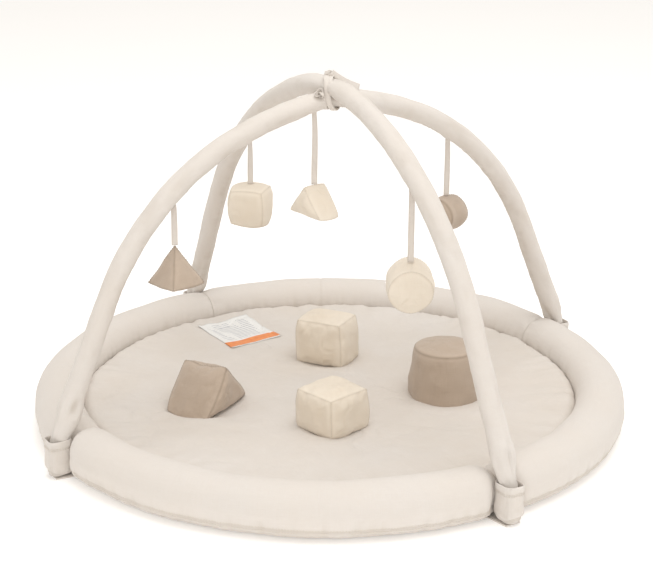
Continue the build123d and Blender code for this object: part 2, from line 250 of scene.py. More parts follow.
def grained(name, stretch, detail, colours, share, roughness, bump):
    """Plain material with one grain: thread twist, glass fibre or a moulded skin.

    share and roughness are ramps over the grain; bump is the grain's strength and depth.
    """
    n = Nodes(name)
    place = n.add("ShaderNodeTexCoord").outputs["Object"]
    grain = n.noise(n.stretched(place, stretch), 1.0, detail)
    n.link(n.mix(n.ramp(grain, *share), *colours), n.shader.inputs["Base Color"])
    n.link(n.ramp(grain, *roughness), n.shader.inputs["Roughness"])
    n.link(n.bump(grain, *bump), n.shader.inputs["Normal"])
    return n.material


def thread(name, colour):
    """Twisted sewing thread."""
    dark = tuple(0.75 * c for c in colour)
    twist = (2400.0, 2400.0, 2400.0)
    return grained(name, twist, 1.0, (dark, colour), (0.35, 0.65), (0.3, 0.7, 0.7, 0.9), (0.5, 0.0002))


LINE_PITCH = 0.0062  # of the label's ruled lines
SATIN_PITCH = 0.0006


def label_satin():
    """Blank care label: pale satin, faint ruled lines in place of print, and an orange band at one end."""
    n = Nodes("label_satin")
    uv = n.add("ShaderNodeUVMap", uv_map="cloth").outputs["UV"]
    split = n.add("ShaderNodeSeparateXYZ")
    n.link(uv, split.inputs[0])
    across, along = split.outputs[0], split.outputs[1]

    def between(place, low, high, soft=0.001):
        """1 between low and high, 0 outside, with soft edges."""
        return n.maths("MULTIPLY", n.ramp(place, low, low + soft), n.ramp(place, high, high - soft))

    line = n.maths("SINE", n.maths("MULTIPLY", along, 2 * pi / LINE_PITCH))
    ruled = n.maths("MULTIPLY", n.ramp(line, 0.55, 0.75), between(across, 0.010, 0.088))
    broken = n.ramp(n.noise(n.stretched(uv, (70.0, 12.0, 1.0)), 1.0, 1.0), 0.42, 0.46)
    ink = n.maths("MULTIPLY", ruled, n.maths("MULTIPLY", broken, between(along, 0.032, 0.112)))
    band = between(along, 0.0035, 0.0265)
    mottle = n.noise(uv, 160.0, 3.0)
    white = n.mix(n.ramp(mottle, 0.3, 0.7), (0.80, 0.80, 0.78), (0.88, 0.88, 0.87))
    colour = n.mix(n.maths("MULTIPLY", ink, 0.75), white, (0.30, 0.32, 0.38))
    orange = n.mix(n.ramp(mottle, 0.35, 0.65), (0.80, 0.22, 0.05), (0.90, 0.32, 0.09))
    n.link(n.mix(band, colour, orange), n.shader.inputs["Base Color"])
    n.link(n.ramp(mottle, 0.3, 0.7, 0.42, 0.58), n.shader.inputs["Roughness"])
    n.shader.inputs["Sheen Weight"].default_value = 0.15
    threads = n.maths("SINE", n.maths("MULTIPLY", across, 2 * pi / SATIN_PITCH))
    n.link(n.bump(threads, 0.25, 0.0001), n.shader.inputs["Normal"])
    return n.material


def fibreglass():
    """Pultruded rod: fine lengthwise glass fibres under a satin resin skin."""
    fibres = (900.0, 900.0, 40.0)
    resin = ((0.62, 0.60, 0.50), (0.80, 0.78, 0.68))
    return grained("fibreglass", fibres, 3.0, resin, (0.0, 1.0), (0.3, 0.7, 0.35, 0.5), (0.3, 0.0002))


def moulded(name, colour):
    """Soft moulded plastic with a fine spark-eroded grain."""
    n = Nodes(name)
    place = n.add("ShaderNodeTexCoord").outputs["Object"]
    grain = n.noise(place, 2600.0, 2.0)
    scuff = n.noise(place, 120.0, 4.0)
    pale = tuple(1.5 * c + 0.01 for c in colour)
    n.link(n.mix(n.ramp(scuff, 0.55, 0.8), colour, pale), n.shader.inputs["Base Color"])
    n.link(n.ramp(scuff, 0.3, 0.7, 0.5, 0.7), n.shader.inputs["Roughness"])
    n.link(n.bump(grain, 0.4, 0.0001), n.shader.inputs["Normal"])
    return n.material


cream_cotton = cotton("cream_cotton", CREAM, CREAM_SHADE)
sleeve_cotton = cotton("sleeve_cotton", CREAM, CREAM_SHADE, wrinkle=1.2)
pocket_cotton = cotton("pocket_cotton", CREAM, CREAM_SHADE, pitch=0.0010, wrinkle=1.3)
cream_toy_cotton = cotton("cream_toy_cotton", TOY_CREAM, TOY_CREAM_SHADE)
taupe_cotton = cotton("taupe_cotton", TAUPE, TAUPE_SHADE, sheen=0.35)
tape_cotton = cotton("tape_cotton", CREAM, CREAM_SHADE, pitch=0.0007, wrinkle=0.6)
base_cotton = cotton("base_cotton", CREAM, CREAM_SHADE, pitch=0.0012)
thread_cream = thread("thread_cream", THREAD_CREAM)
thread_taupe = thread("thread_taupe", THREAD_TAUPE)


# ---------------------------------------------------------------- mesh helpers
def smooth_noise(points, size, seed=0.0, octaves=2):
    """Fractal noise from about -1 to 1 at each point, with features of the given size."""
    shift = Vector((seed * 17.3, seed * -9.1, seed * 5.7))
    values = [
        noise.fractal(Vector(p) / size + shift, 0.9, 2.0, octaves, noise_basis="PERLIN_ORIGINAL")
        for p in points
    ]
    return np.array(values)


def bell(value, width):
    """1 at 0, fading to nothing past the width."""
    return exp(-((value / width) ** 2))


def signed_power(value, power):
    """The value's size to a power, with its sign kept."""
    return abs(value) ** power * (1 if value >= 0 else -1)


def new_object(name, mesh):
    piece = bpy.data.objects.new(name, mesh)
    bpy.context.collection.objects.link(piece)
    return piece


def coords(piece):
    flat = np.empty(3 * len(piece.data.vertices))
    piece.data.vertices.foreach_get("co", flat)
    return flat.reshape(-1, 3)


def set_coords(piece, points):
    piece.data.vertices.foreach_set("co", np.asarray(points, dtype=float).ravel())
    piece.data.update()


def normals(piece):
    piece.data.update()
    flat = np.empty(3 * len(piece.data.vertices))
    piece.data.vertex_normals.foreach_get("vector", flat)
    return flat.reshape(-1, 3)


def set_attribute(piece, name, values):
    """Point attribute that the cotton reads: the shade one darkens creases, grooves and hollows as painted
    shade, worn makes paler.
    """
    layer = piece.data.attributes.get(name) or piece.data.attributes.new(name, "FLOAT", "POINT")
    layer.data.foreach_set("value", np.clip(values, 0.0, 1.0).astype(np.float32))


def subdivide(piece, seam_crease=0.0):
    """Applies one level of subdivision surface, with the seams kept as sharp as seam_crease says."""
    if seam_crease:
        layer = piece.data.attributes.new("crease_edge", "FLOAT", "EDGE")
        layer.data.foreach_set("value", [seam_crease * edge.use_seam for edge in piece.data.edges])
    modifier = piece.modifiers.new("subdivision", "SUBSURF")
    modifier.levels = 1
    modifier.boundary_smooth = "PRESERVE_CORNERS"
    graph = bpy.context.evaluated_depsgraph_get()
    old = piece.data
    piece.data = bpy.data.meshes.new_from_object(piece.evaluated_get(graph), depsgraph=graph)
    piece.modifiers.clear()
    bpy.data.meshes.remove(old)


def mesh_piece(name, vertices, faces, material, uvs=None, smooth=True):
    """Object from vertices and faces, with cloth UVs where one is given for each vertex."""
    mesh = bpy.data.meshes.new(name)
    mesh.from_pydata([tuple(v) for v in vertices], [], faces)
    if uvs is not None:
        layer = mesh.uv_layers.new(name="cloth")
        picked = np.array([uvs[loop.vertex_index] for loop in mesh.loops])
        layer.data.foreach_set("uv", picked.ravel())
    mesh.materials.append(material)
    mesh.polygons.foreach_set("use_smooth", [smooth] * len(mesh.polygons))
    return new_object(name, mesh)


def ring_faces(first, around, gaps):
    """Quads that join each ring of vertices to the next; the rings start at the index first."""
    faces = []
    for i in range(gaps):
        a = first + i * around
        for j in range(around):
            k = (j + 1) % around
            faces.append((a + j, a + around + j, a + around + k, a + k))
    return faces


def hub_faces(around, count):
    """Faces of a closed round form: a hub, count rings round it, and a hub on its other side."""
    faces = [(0, 1 + j, 1 + (j + 1) % around) for j in range(around)]
    faces += ring_faces(1, around, count - 1)
    last = 1 + (count - 1) * around
    faces += [(last + (j + 1) % around, last + j, last + around) for j in range(around)]
    return faces


def tube(name, rings, lengths, material):
    """Mesh through rings of points, rings[i][j], with both ends closed by a fan; UVs run in metres."""
    count, around = rings.shape[:2]
    vertices = [p for ring in rings for p in ring]
    faces = [(a, d, c, b) for a, b, c, d in ring_faces(0, around, count - 1)]
    for i, flip in ((0, True), (count - 1, False)):
        hub = len(vertices)
        vertices.append(rings[i].mean(axis=0))
        for j in range(around):
            a, b = i * around + j, i * around + (j + 1) % around
            faces.append((b, a, hub) if flip else (a, b, hub))
    piece = mesh_piece(name, vertices, faces, material)
    mesh = piece.data
    layer = mesh.uv_layers.new(name="cloth")
    girth = np.linalg.norm(rings - np.roll(rings, 1, axis=1), axis=2).sum(axis=1).max()
    along = np.asarray(lengths)
    for face in mesh.polygons:
        columns = [mesh.loops[i].vertex_index % around for i in face.loop_indices]
        wraps = max(columns) - min(columns) > 1
        for i in face.loop_indices:
            vertex = mesh.loops[i].vertex_index
            if vertex >= count * around:
                layer.data[i].uv = (along[0 if vertex == count * around else -1] + 0.01, 0.0)
                continue
            column = vertex % around
            if wraps and column == 0:
                column = around
            layer.data[i].uv = (along[vertex // around], girth * column / around)
    return piece


def cloth_piece(name, bm, material):
    """Smooth object from the bmesh, which is used up."""
    mesh = bpy.data.meshes.new(name)
    bm.to_mesh(mesh)
    bm.free()
    mesh.materials.append(material)
    mesh.polygons.foreach_set("use_smooth", [True] * len(mesh.polygons))
    return new_object(name, mesh)


def panel_solid(name, corners, panels, material):
    """Closed solid sewn from flat panels, each divided into a fine grid; the panel edges are its seams."""
    bm = bmesh.new()
    verts = [bm.verts.new(c) for c in corners]
    for panel, indices in enumerate(panels):
        face = bm.faces.new([verts[i] for i in indices])
        face.material_index = panel
    bmesh.ops.recalc_face_normals(bm, faces=bm.faces)
    for edge in bm.edges:
        edge.seam = True
    longest = max(edge.calc_length() for edge in bm.edges)
    frames = {}
    for face in bm.faces:
        u = (face.verts[1].co - face.verts[0].co).normalized()
        frames[face.material_index] = (u, face.normal.cross(u))
    cuts = max(3, ceil(longest / SEWN_STEP)) - 1
    bmesh.ops.subdivide_edges(bm, edges=bm.edges, cuts=cuts, use_grid_fill=True)
    uv = bm.loops.layers.uv.new("cloth")
    for face in bm.faces:
        u, v = frames[face.material_index]
        for loop in face.loops:
            loop[uv].uv = (loop.vert.co.dot(u), loop.vert.co.dot(v))
        face.material_index = 0
    return cloth_piece(name, bm, material)


def turned_solid(name, radius_low, radius_high, height, material):
    """Upright drum from two round panels and one strip, with seams at both rims."""
    around = 4 * ceil(2 * pi * max(radius_low, radius_high) / SEWN_STEP / 4)
    bm = bmesh.new()
    uv = bm.loops.layers.uv.new("cloth")
    profile = []
    rings_in = ceil(radius_low / SEWN_STEP)
    for i in range(1, rings_in + 1):
        profile.append((radius_low * i / rings_in, -height, "low"))
    rows = ceil(height / SEWN_STEP)
    for i in range(1, rows):
        share = i / rows
        profile.append((radius_low + (radius_high - radius_low) * share, -height * (1 - share), "side"))
    rings_in = ceil(radius_high / SEWN_STEP)
    for i in range(rings_in, 0, -1):
        profile.append((radius_high * i / rings_in, 0.0, "high"))
    rings = []
    for radius, level, part in profile:
        rings.append([
            bm.verts.new((radius * cos(2 * pi * j / around), radius * sin(2 * pi * j / around), level))
            for j in range(around)
        ])
    bottom, top = bm.verts.new((0, 0, -height)), bm.verts.new((0, 0, 0))

    def paint(face, flat):
        for loop in face.loops:
            x, y, z = loop.vert.co
            angle = atan2(y, x)
            loop[uv].uv = (x, y) if flat else (angle * radius_low, z)

    for i in range(len(rings) - 1):
        flat = profile[i][2] == profile[i + 1][2] != "side"
        for j in range(around):
            k = (j + 1) % around
            paint(bm.faces.new((rings[i][j], rings[i][k], rings[i + 1][k], rings[i + 1][j])), flat)
    for j in range(around):
        k = (j + 1) % around
        paint(bm.faces.new((rings[0][k], rings[0][j], bottom)), True)
        paint(bm.faces.new((rings[-1][j], rings[-1][k], top)), True)
    low_rim = sum(part == "low" for _, _, part in profile) - 1
    high_rim = len(profile) - sum(part == "high" for _, _, part in profile)
    for rim in (low_rim, high_rim):
        for j in range(around):
            bm.edges.get((rings[rim][j], rings[rim][(j + 1) % around])).seam = True
    bmesh.ops.recalc_face_normals(bm, faces=bm.faces)
    return cloth_piece(name, bm, material)


def seam_vertices(piece):
    """Indices of the vertices on the piece's seams."""
    found = set()
    for edge in piece.data.edges:
        if edge.use_seam:
            found.update(edge.vertices)
    return np.array(sorted(found), dtype=int)


def seam_chains(piece):
    """The piece's seams as ordered chains of vertex indices, cut where more than two seams meet."""
    links = {}
    for edge in piece.data.edges:
        if edge.use_seam:
            a, b = edge.vertices
            links.setdefault(a, []).append(b)
            links.setdefault(b, []).append(a)
    ends = [v for v, near in links.items() if len(near) != 2]
    used, chains = set(), []

    def follow(start, second):
        chain = [start, second]
        used.add(frozenset((start, second)))
        while len(links[chain[-1]]) == 2:
            ahead = [v for v in links[chain[-1]] if frozenset((chain[-1], v)) not in used]
            if not ahead:
                break
            used.add(frozenset((chain[-1], ahead[0])))
            chain.append(ahead[0])
        return chain

    for start in ends + list(links):
        for second in links[start]:
            if frozenset((start, second)) not in used:
                chains.append(follow(start, second))
    return chains


def point_index(points):
    """Search tree over the points."""
    tree = KDTree(len(points))
    for i, point in enumerate(points):
        tree.insert(point, i)
    tree.balance()
    return tree


def distance_to(points, marks):
    """Distance from each point to the nearest mark."""
    tree = point_index(marks)
    return np.array([tree.find(p)[2] for p in points])


def resample(points, step):
    """Points a step apart along a polyline, and the direction at each."""
    points = np.asarray(points)
    legs = np.linalg.norm(np.diff(points, axis=0), axis=1)
    run = np.concatenate(([0.0], np.cumsum(legs)))
    count = max(2, int(run[-1] / step))
    at = (np.arange(count) + 0.5) * run[-1] / count
    places = np.stack([np.interp(at, run, points[:, k]) for k in range(3)], axis=1)
    ahead = np.stack([np.interp(at + 0.1 * step, run, points[:, k]) for k in range(3)], axis=1)
    behind = np.stack([np.interp(at - 0.1 * step, run, points[:, k]) for k in range(3)], axis=1)
    direction = ahead - behind
    direction /= np.linalg.norm(direction, axis=1)[:, None]
    return places, direction


def stitches(name, lines, material, body):
    """Rows of small sewn stitches, each a short rounded thread that dips at both ends.

    Each line gives the stitches' places, their directions and the way out of the cloth.
    """
    sides = 6
    ring_shape = [(cos(2 * pi * k / sides), sin(2 * pi * k / sides)) for k in range(sides)]
    profile = ((-0.5, 0.25, -0.5), (-0.3, 0.9, 0.1), (0.0, 1.0, 0.35), (0.3, 0.9, 0.1), (0.5, 0.25, -0.5))
    vertices, faces = [], []
    for places, directions, ups in lines:
        for place, direction, up in zip(places, directions, ups):
            across = np.cross(direction, up)
            across /= max(1e-9, np.linalg.norm(across))
            start = len(vertices)
            for along, girth, lift in profile:
                centre = place + direction * along * STITCH_LENGTH + up * lift * STITCH_RADIUS
                for c, s in ring_shape:
                    vertices.append(centre + girth * STITCH_RADIUS * (across * c + up * s))
            for i in range(len(profile) - 1):
                a = start + sides * i
                for k in range(sides):
                    m = (k + 1) % sides
                    faces.append((a + k, a + m, a + sides + m, a + sides + k))
            last = start + sides * (len(profile) - 1)
            faces.append(tuple(start + k for k in reversed(range(sides))))
            faces.append(tuple(last + k for k in range(sides)))
    piece = mesh_piece(name, vertices, faces, material)
    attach(piece, body)


# ---------------------------------------------------------------- cloth simulation
FRAMES = 20
SEAM_GATHER = 0.02  # how much the seams draw up the cloth


class Sewn:
    """One stuffed piece, and how it is inflated, sized, placed and finished."""

    def __init__(self, piece, body, colour, fill, size, place, turn, floor=None, tilt=0.0,
                 pressure=4.5, cap=0.009, bulge=0.10):
        self.piece, self.body, self.colour, self.fill = piece, body, colour, fill
        self.size, self.place, self.turn, self.tilt = size, place, turn, tilt
        self.floor = floor  # level at which its underside is pressed flat
        self.pressure = pressure
        self.cap = cap  # the furthest that a point may move
        self.bulge = bulge  # of the seams before inflation, which draws them straight again

    def bow_seams(self):
        points = coords(self.piece)
        low, high = points.min(axis=0), points.max(axis=0)
        middle, half = (low + high) / 2, (high - low) / 2
        share = (points - middle) / half
        inner = 1 - share**2
        room = inner.sum(axis=1)[:, None] - inner
        set_coords(self.piece, middle + share * half * (1 + self.bulge / 2 * room))


def add_cloth(entry):
    """Cloth modifier that inflates one piece and gathers its seams."""
    group = entry.piece.vertex_groups.new(name="seam")
    group.add([int(i) for i in seam_vertices(entry.piece)], 1.0, "REPLACE")
    modifier = entry.piece.modifiers.new("cloth", "CLOTH")
    cloth = modifier.settings
    cloth.quality = 4
    cloth.mass = 0.12
    cloth.tension_stiffness = 18
    cloth.compression_stiffness = 18
    cloth.shear_stiffness = 6
    cloth.bending_stiffness = 0.4
    cloth.use_pressure = True
    cloth.uniform_pressure_force = entry.pressure
    cloth.effector_weights.gravity = 0
    cloth.vertex_group_shrink = "seam"
    cloth.shrink_max = SEAM_GATHER
    modifier.point_cache.frame_start = 1
    modifier.point_cache.frame_end = FRAMES


def run_simulation(entries):
    """Inflates all the pieces together, caps how far each point moves, and applies the result."""
    scene = bpy.context.scene
    before = [coords(entry.piece) for entry in entries]
    for entry in entries:
        add_cloth(entry)
    for step in range(1, FRAMES + 1):
        scene.frame_set(step)
    graph = bpy.context.evaluated_depsgraph_get()
    for entry, start in zip(entries, before):
        evaluated = entry.piece.evaluated_get(graph)
        mesh = evaluated.to_mesh()
        flat = np.empty(3 * len(mesh.vertices))
        mesh.vertices.foreach_get("co", flat)
        evaluated.to_mesh_clear()
        moved = flat.reshape(-1, 3) - start
        share = np.minimum(1.0, entry.cap / np.maximum(np.linalg.norm(moved, axis=1), 1e-9))
        entry.piece.modifiers.clear()
        set_coords(entry.piece, start + moved * share[:, None])
    scene.frame_set(1)


# ---------------------------------------------------------------- arches
CROWN_TURN = radians(14)  # of each half of the crown's arc


class Arch:
    """Centre line of one arch in its vertical plane; across is along its horizontal axis."""

    def __init__(self, axis, crown, crown_radius, shoulder_radius, lean):
        self.axis = Vector(axis)
        self.side = Vector((0, 0, 1)).cross(self.axis)
        self.crown, self.crown_radius, self.shoulder_radius = crown, crown_radius, shoulder_radius
        self.lean = radians(lean)
        self.turn = CROWN_TURN
        self.crown_end = (crown_radius * sin(self.turn), crown - crown_radius * (1 - cos(self.turn)))
        self.shoulder = (
            self.crown_end[0] - shoulder_radius * sin(self.turn),
            self.crown_end[1] - shoulder_radius * cos(self.turn),
        )
        self.leg_top = (
            self.shoulder[0] + shoulder_radius * cos(self.lean),
            self.shoulder[1] + shoulder_radius * sin(self.lean),
        )
        self.leg = (self.leg_top[1] - POCKET_TOP) / cos(self.lean)
        self.mouth = (self.leg_top[0] + self.leg * sin(self.lean), POCKET_TOP)
        self.foot = self.mouth[0] + FOOT_BEND_RADIUS * (1 - cos(self.lean))
        self.bend_level = POCKET_TOP - FOOT_BEND_RADIUS * sin(self.lean)
        self.lengths = (
            crown_radius * self.turn,
            shoulder_radius * (pi / 2 - self.lean - self.turn),
            self.leg,
            FOOT_BEND_RADIUS * self.lean,
            self.bend_level - FOOT_BOTTOM,
        )
        self.half = sum(self.lengths)
        self.to_mouth = sum(self.lengths[:3])

    def at(self, run):
        """(across, up, slope) at a signed distance along the centre line from its crown."""
        sign = 1 if run >= 0 else -1
        run = abs(run)
        crown, shoulder, leg, bend, _ = self.lengths
        if run < crown:
            angle = run / self.crown_radius
            across = self.crown_radius * sin(angle)
            up = self.crown - self.crown_radius * (1 - cos(angle))
        elif run < crown + shoulder:
            angle = self.turn + (run - crown) / self.shoulder_radius
            across = self.shoulder[0] + self.shoulder_radius * sin(angle)
            up = self.shoulder[1] + self.shoulder_radius * cos(angle)
        elif run < crown + shoulder + leg:
            angle = pi / 2 - self.lean
            down = run - crown - shoulder
            across = self.leg_top[0] + down * sin(self.lean)
            up = self.leg_top[1] - down * cos(self.lean)
        elif run < crown + shoulder + leg + bend:
            turned = (run - crown - shoulder - leg) / FOOT_BEND_RADIUS
            angle = pi / 2 - self.lean + turned
            across = self.foot - FOOT_BEND_RADIUS * (1 - cos(self.lean - turned))
            up = self.bend_level + FOOT_BEND_RADIUS * sin(self.lean - turned)
        else:
            angle = pi / 2
            across = self.foot
            up = self.bend_level - (run - crown - shoulder - leg - bend)
        return sign * across, up, sign * angle

    def frame(self, run):
        """Point on the centre line at a distance from its crown, and the outward unit vector there."""
        across, up, slope = self.at(run)
        point = self.axis * across + Vector((0, 0, up))
        outward = self.axis * sin(slope) + Vector((0, 0, cos(slope)))
        return point, outward


lower_arch = Arch((1, 0, 0), LOWER_CROWN, 0.425, 0.425, 23.7)
upper_arch = Arch((0, 1, 0), UPPER_CROWN, 0.200, 0.500, 25.0)

SLEEVE_STEP = 0.0042
SLEEVE_AROUND = 44
PINCH_LENGTH = 0.034  # of the squeezed stretch at the crossing
LIFT_LENGTH = 0.070  # of the stretch that the tie pulls towards the other sleeve


def sleeve(name, arch, lift, seed, prefix):
    """Sewn sleeve over one arch: squeezed at the crossing, puckered underneath, bunched at the feet."""
    count = 2 * ceil(arch.half / SLEEVE_STEP) + 1
    runs = np.linspace(-arch.half, arch.half, count)
    angles = 2 * pi * np.arange(SLEEVE_AROUND) / SLEEVE_AROUND
    rings = np.empty((count, SLEEVE_AROUND, 3))
    painted_shade = np.zeros((count, SLEEVE_AROUND))
    for i, run in enumerate(runs):
        point, outward = arch.frame(run)
        to_mouth = arch.to_mouth - abs(run)
        in_pocket = to_mouth <= 0
        # the sleeve is slack low on the leg, and bunches just above its pocket
        slim = min(1.0, max(0.0, to_mouth / 0.050))
        radius = FOOT_RADIUS + (SLEEVE_RADIUS - FOOT_RADIUS) * slim
        bunch = bell(to_mouth - 0.034, 0.026)
        low_leg = bell(max(0.0, to_mouth), 0.12)
        pinch = bell(run, PINCH_LENGTH)
        shoulder = bell(abs(run) - 0.055, 0.030)
        point = point + Vector((0, 0, lift * bell(run, LIFT_LENGTH)))
        tall = radius * (1 - 0.30 * pinch)
        broad = radius * (1 + 0.03 * pinch + 0.10 * shoulder)
        for j, angle in enumerate(angles):
            c, s = cos(angle), sin(angle)  # c is outward, s is sideways
            soft = noise.noise(Vector((run / 0.045, 0.9 * c + 7 * seed, 0.9 * s)))
            fine = noise.noise(Vector((run / 0.014, 1.6 * c - 3 * seed, 1.6 * s + seed)))
            twist = sin((run / 0.021) + 1.6 * angle + 5 * soft)
            # the underside bunches where the arch curves
            ridge = noise.noise(Vector((run / 0.0052, seed * 3.3, 0.35 * s)))
            ruck = 0.00085 * bell(abs(angle - pi), 0.75) * (ridge + 0.4 * fine)
            slack = 0.0011 * soft + 0.00045 * fine
            slack += (0.0026 * bunch + 0.0009 * low_leg) * (0.55 * twist + 1.1 * soft + 0.45)
            depth = 0.0002 * fine if in_pocket else slack * (1 - 0.75 * pinch) + ruck
            # painted shade in the sleeve's creases: the deeper a point sinks, the darker it is coloured
            painted_shade[i, j] = max(0.0, -depth / 0.0022)
            rings[i, j] = point + outward * (c * (tall + depth)) + arch.side * (s * (broad + depth))
    piece = tube(name, rings, runs + arch.half, sleeve_cotton)
    set_attribute(piece, "fold", np.concatenate((painted_shade.ravel(), [0, 0])))
    set_attribute(piece, "worn", np.concatenate((np.clip(-painted_shade.ravel() + 0.35, 0, 1), [0, 0])))
    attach(piece, "frame")
    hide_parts(f"{prefix}_sleeve", f"{prefix}_foam")

    # stitches along the seam on the underside
    keep = np.abs(runs) < arch.to_mouth - 0.002
    places, directions = resample(rings[keep, SLEEVE_AROUND // 2, :], STITCH_STEP)
    stitched = np.linspace(runs[keep][0], runs[keep][-1], len(places))
    ups = np.array([-np.array(arch.frame(run)[1]) for run in stitched])
    stitches(f"{name}_stitching", [(places, directions, ups)], thread_cream, "frame")


def build_sleeves():
    sleeve("lower_sleeve", lower_arch, 0.0060, 1.0, "lower_arch")
    sleeve("upper_sleeve", upper_arch, -0.0020, 2.0, "upper_arch")
    rod = fibreglass()
    cap = moulded("end_cap_plastic", (0.055, 0.055, 0.058))
    for prefix in ("lower_arch", "upper_arch"):
        for node, material in ((f"{prefix}_rod", rod), (f"{prefix}_end_caps", cap)):
            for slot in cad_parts[node].material_slots:
                slot.material = material


# ---------------------------------------------------------------- mat
QUARTERS = ("back", "left", "front", "right")
POCKETS = ("right_back", "left_back", "left_front", "right_front")
JOIN_AT = radians(60) * RING_RADIUS  # the upright seam in the back length
LOW_SEAM = 0.0195  # height of the seam round the border's outer side


def pad_height(x, y, blocks):
    """Height of the quilted pad, with the painted shade for the dips near its rim and how near its edge is
    at the same place.
    """
    radius, angle = sqrt(x * x + y * y), atan2(y, x)
    puff_up = 0.0042 * noise.noise(Vector((x / 0.095, y / 0.095, 4.2)))
    puff_up += 0.0018 * noise.noise(Vector((x / 0.034, y / 0.034, 9.7)))
    crescent = noise.noise(Vector((x / 0.055, y / 0.055, 1.3)))
    crease = bell(crescent - 0.10, 0.040)
    strength = 0.30 + 1.4 * max(0.0, noise.noise(Vector((x / 0.13, y / 0.13, 6.0))))
    puff_up -= 0.0022 * crease * strength
    rim = bell(PAD_RADIUS - radius, 0.055)
    wave = noise.noise(Vector((22 * cos(angle), 22 * sin(angle), 0.4 * radius / 0.1)))
    fine = noise.noise(Vector((60 * cos(angle), 60 * sin(angle), 2.0 + radius / 0.1)))
    puff_up += rim * (0.0032 * wave + 0.0016 * fine) + 0.0060 * rim
    height = PAD_TOP + 0.0034 + puff_up
    for cx, cy, half in blocks:
        away = sqrt((x - cx) ** 2 + (y - cy) ** 2)
        press = 1 / (1 + exp((away - half - 0.004) / 0.0035))
        height = height * (1 - press) + (PAD_TOP - 0.0004) * press
    edge = max(0.0, 1 - (PAD_RADIUS - radius) / PAD_EDGE)
    return height - 0.0105 * edge**2.2, rim * max(0.0, -wave), edge


def block_footprints():
    """Centre and reach of the dent under each block."""
    spots = []
    for name in ("rear", "front", "drum", "wedge"):
        low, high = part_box(f"{name}_block_cover")
        spots.append(((low[0] + high[0]) / 2, (low[1] + high[1]) / 2, 0.40 * (high[0] - low[0])))
    return spots


def build_pad():
    """Round quilted pad as one closed form."""
    blocks = block_footprints()
    around, inner = 420, 96
    radii = PAD_RADIUS * np.linspace(0, 1, inner + 1)[1:] ** 0.92
    vertices = [(0.0, 0.0, pad_height(0, 0, blocks)[0])]
    painted_shade = [0.0]
    for radius in radii:
        for j in range(around):
            angle = 2 * pi * j / around
            x, y = radius * cos(angle), radius * sin(angle)
            height, fold, edge = pad_height(x, y, blocks)
            vertices.append((x, y, height))
            # painted shade in the dips near the rim and where the pad rolls down against the border
            painted_shade.append(0.75 * fold + 0.9 * edge**2)
    skirt = ((0.4000, 0.0165), (0.3985, 0.0075), (0.3955, PAD_BOTTOM), (0.20, PAD_BOTTOM))
    for radius, level in skirt:
        for j in range(around):
            angle = 2 * pi * j / around
            vertices.append((radius * cos(angle), radius * sin(angle), level))
            # painted shade on the skirt under the border
            painted_shade.append(0.5)
    vertices.append((0.0, 0.0, PAD_BOTTOM))
    painted_shade.append(0.0)
    faces = hub_faces(around, inner + len(skirt))
    pad = mesh_piece("mat_pad", vertices, faces, cream_cotton, [v[:2] for v in vertices])
    bm = bmesh.new()
    bm.from_mesh(pad.data)
    bmesh.ops.recalc_face_normals(bm, faces=bm.faces)
    bm.to_mesh(pad.data)
    bm.free()
    set_attribute(pad, "fold", np.array(painted_shade))
    set_attribute(pad, "worn", np.zeros(len(painted_shade)))
    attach(pad, "mat")
    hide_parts("mat_cover", "mat_wadding")
    return blocks


def border_point(away, run, angle):
    """Point on the bolster's skin, and the middle of its section there.

    away is the distance from the pinch seam, run the angle round the ring, and angle the place on the
    section, from outward over the top.
    """
    share = min(1.0, away / PINCH_LOBE)
    far = round(run / (pi / 2)) % 4 in (0, 1)
    least = PINCH_RADIUS_FAR if far else PINCH_RADIUS
    fat = least + (BORDER_RADIUS - least) * sin(pi / 2 * share) ** 0.75
    ring = RING_RADIUS - BORDER_RADIUS + fat
    level = BORDER_CENTRE - BORDER_RADIUS + fat
    c, s = cos(angle), sin(angle)
    if s < 0 and c > 0:
        # the low outer side is boxed, so it stands nearly upright on the floor
        c, s = signed_power(c, 2.0 / 2.6), signed_power(s, 2.0 / 2.6)
    across = ring + fat * c
    # the pocket presses the outer side in
    room = POCKET_INNER + 1.4 * max(0.0, away - TAB_HALF_WIDTH - 0.001)
    across = across - 0.004 * np.logaddexp(0.0, (across - room) / 0.004)
    up = max(BORDER_FLOOR, level + fat * s)
    centre = np.array((ring * cos(run), ring * sin(run), level))
    return np.array((across * cos(run), across * sin(run), up)), centre


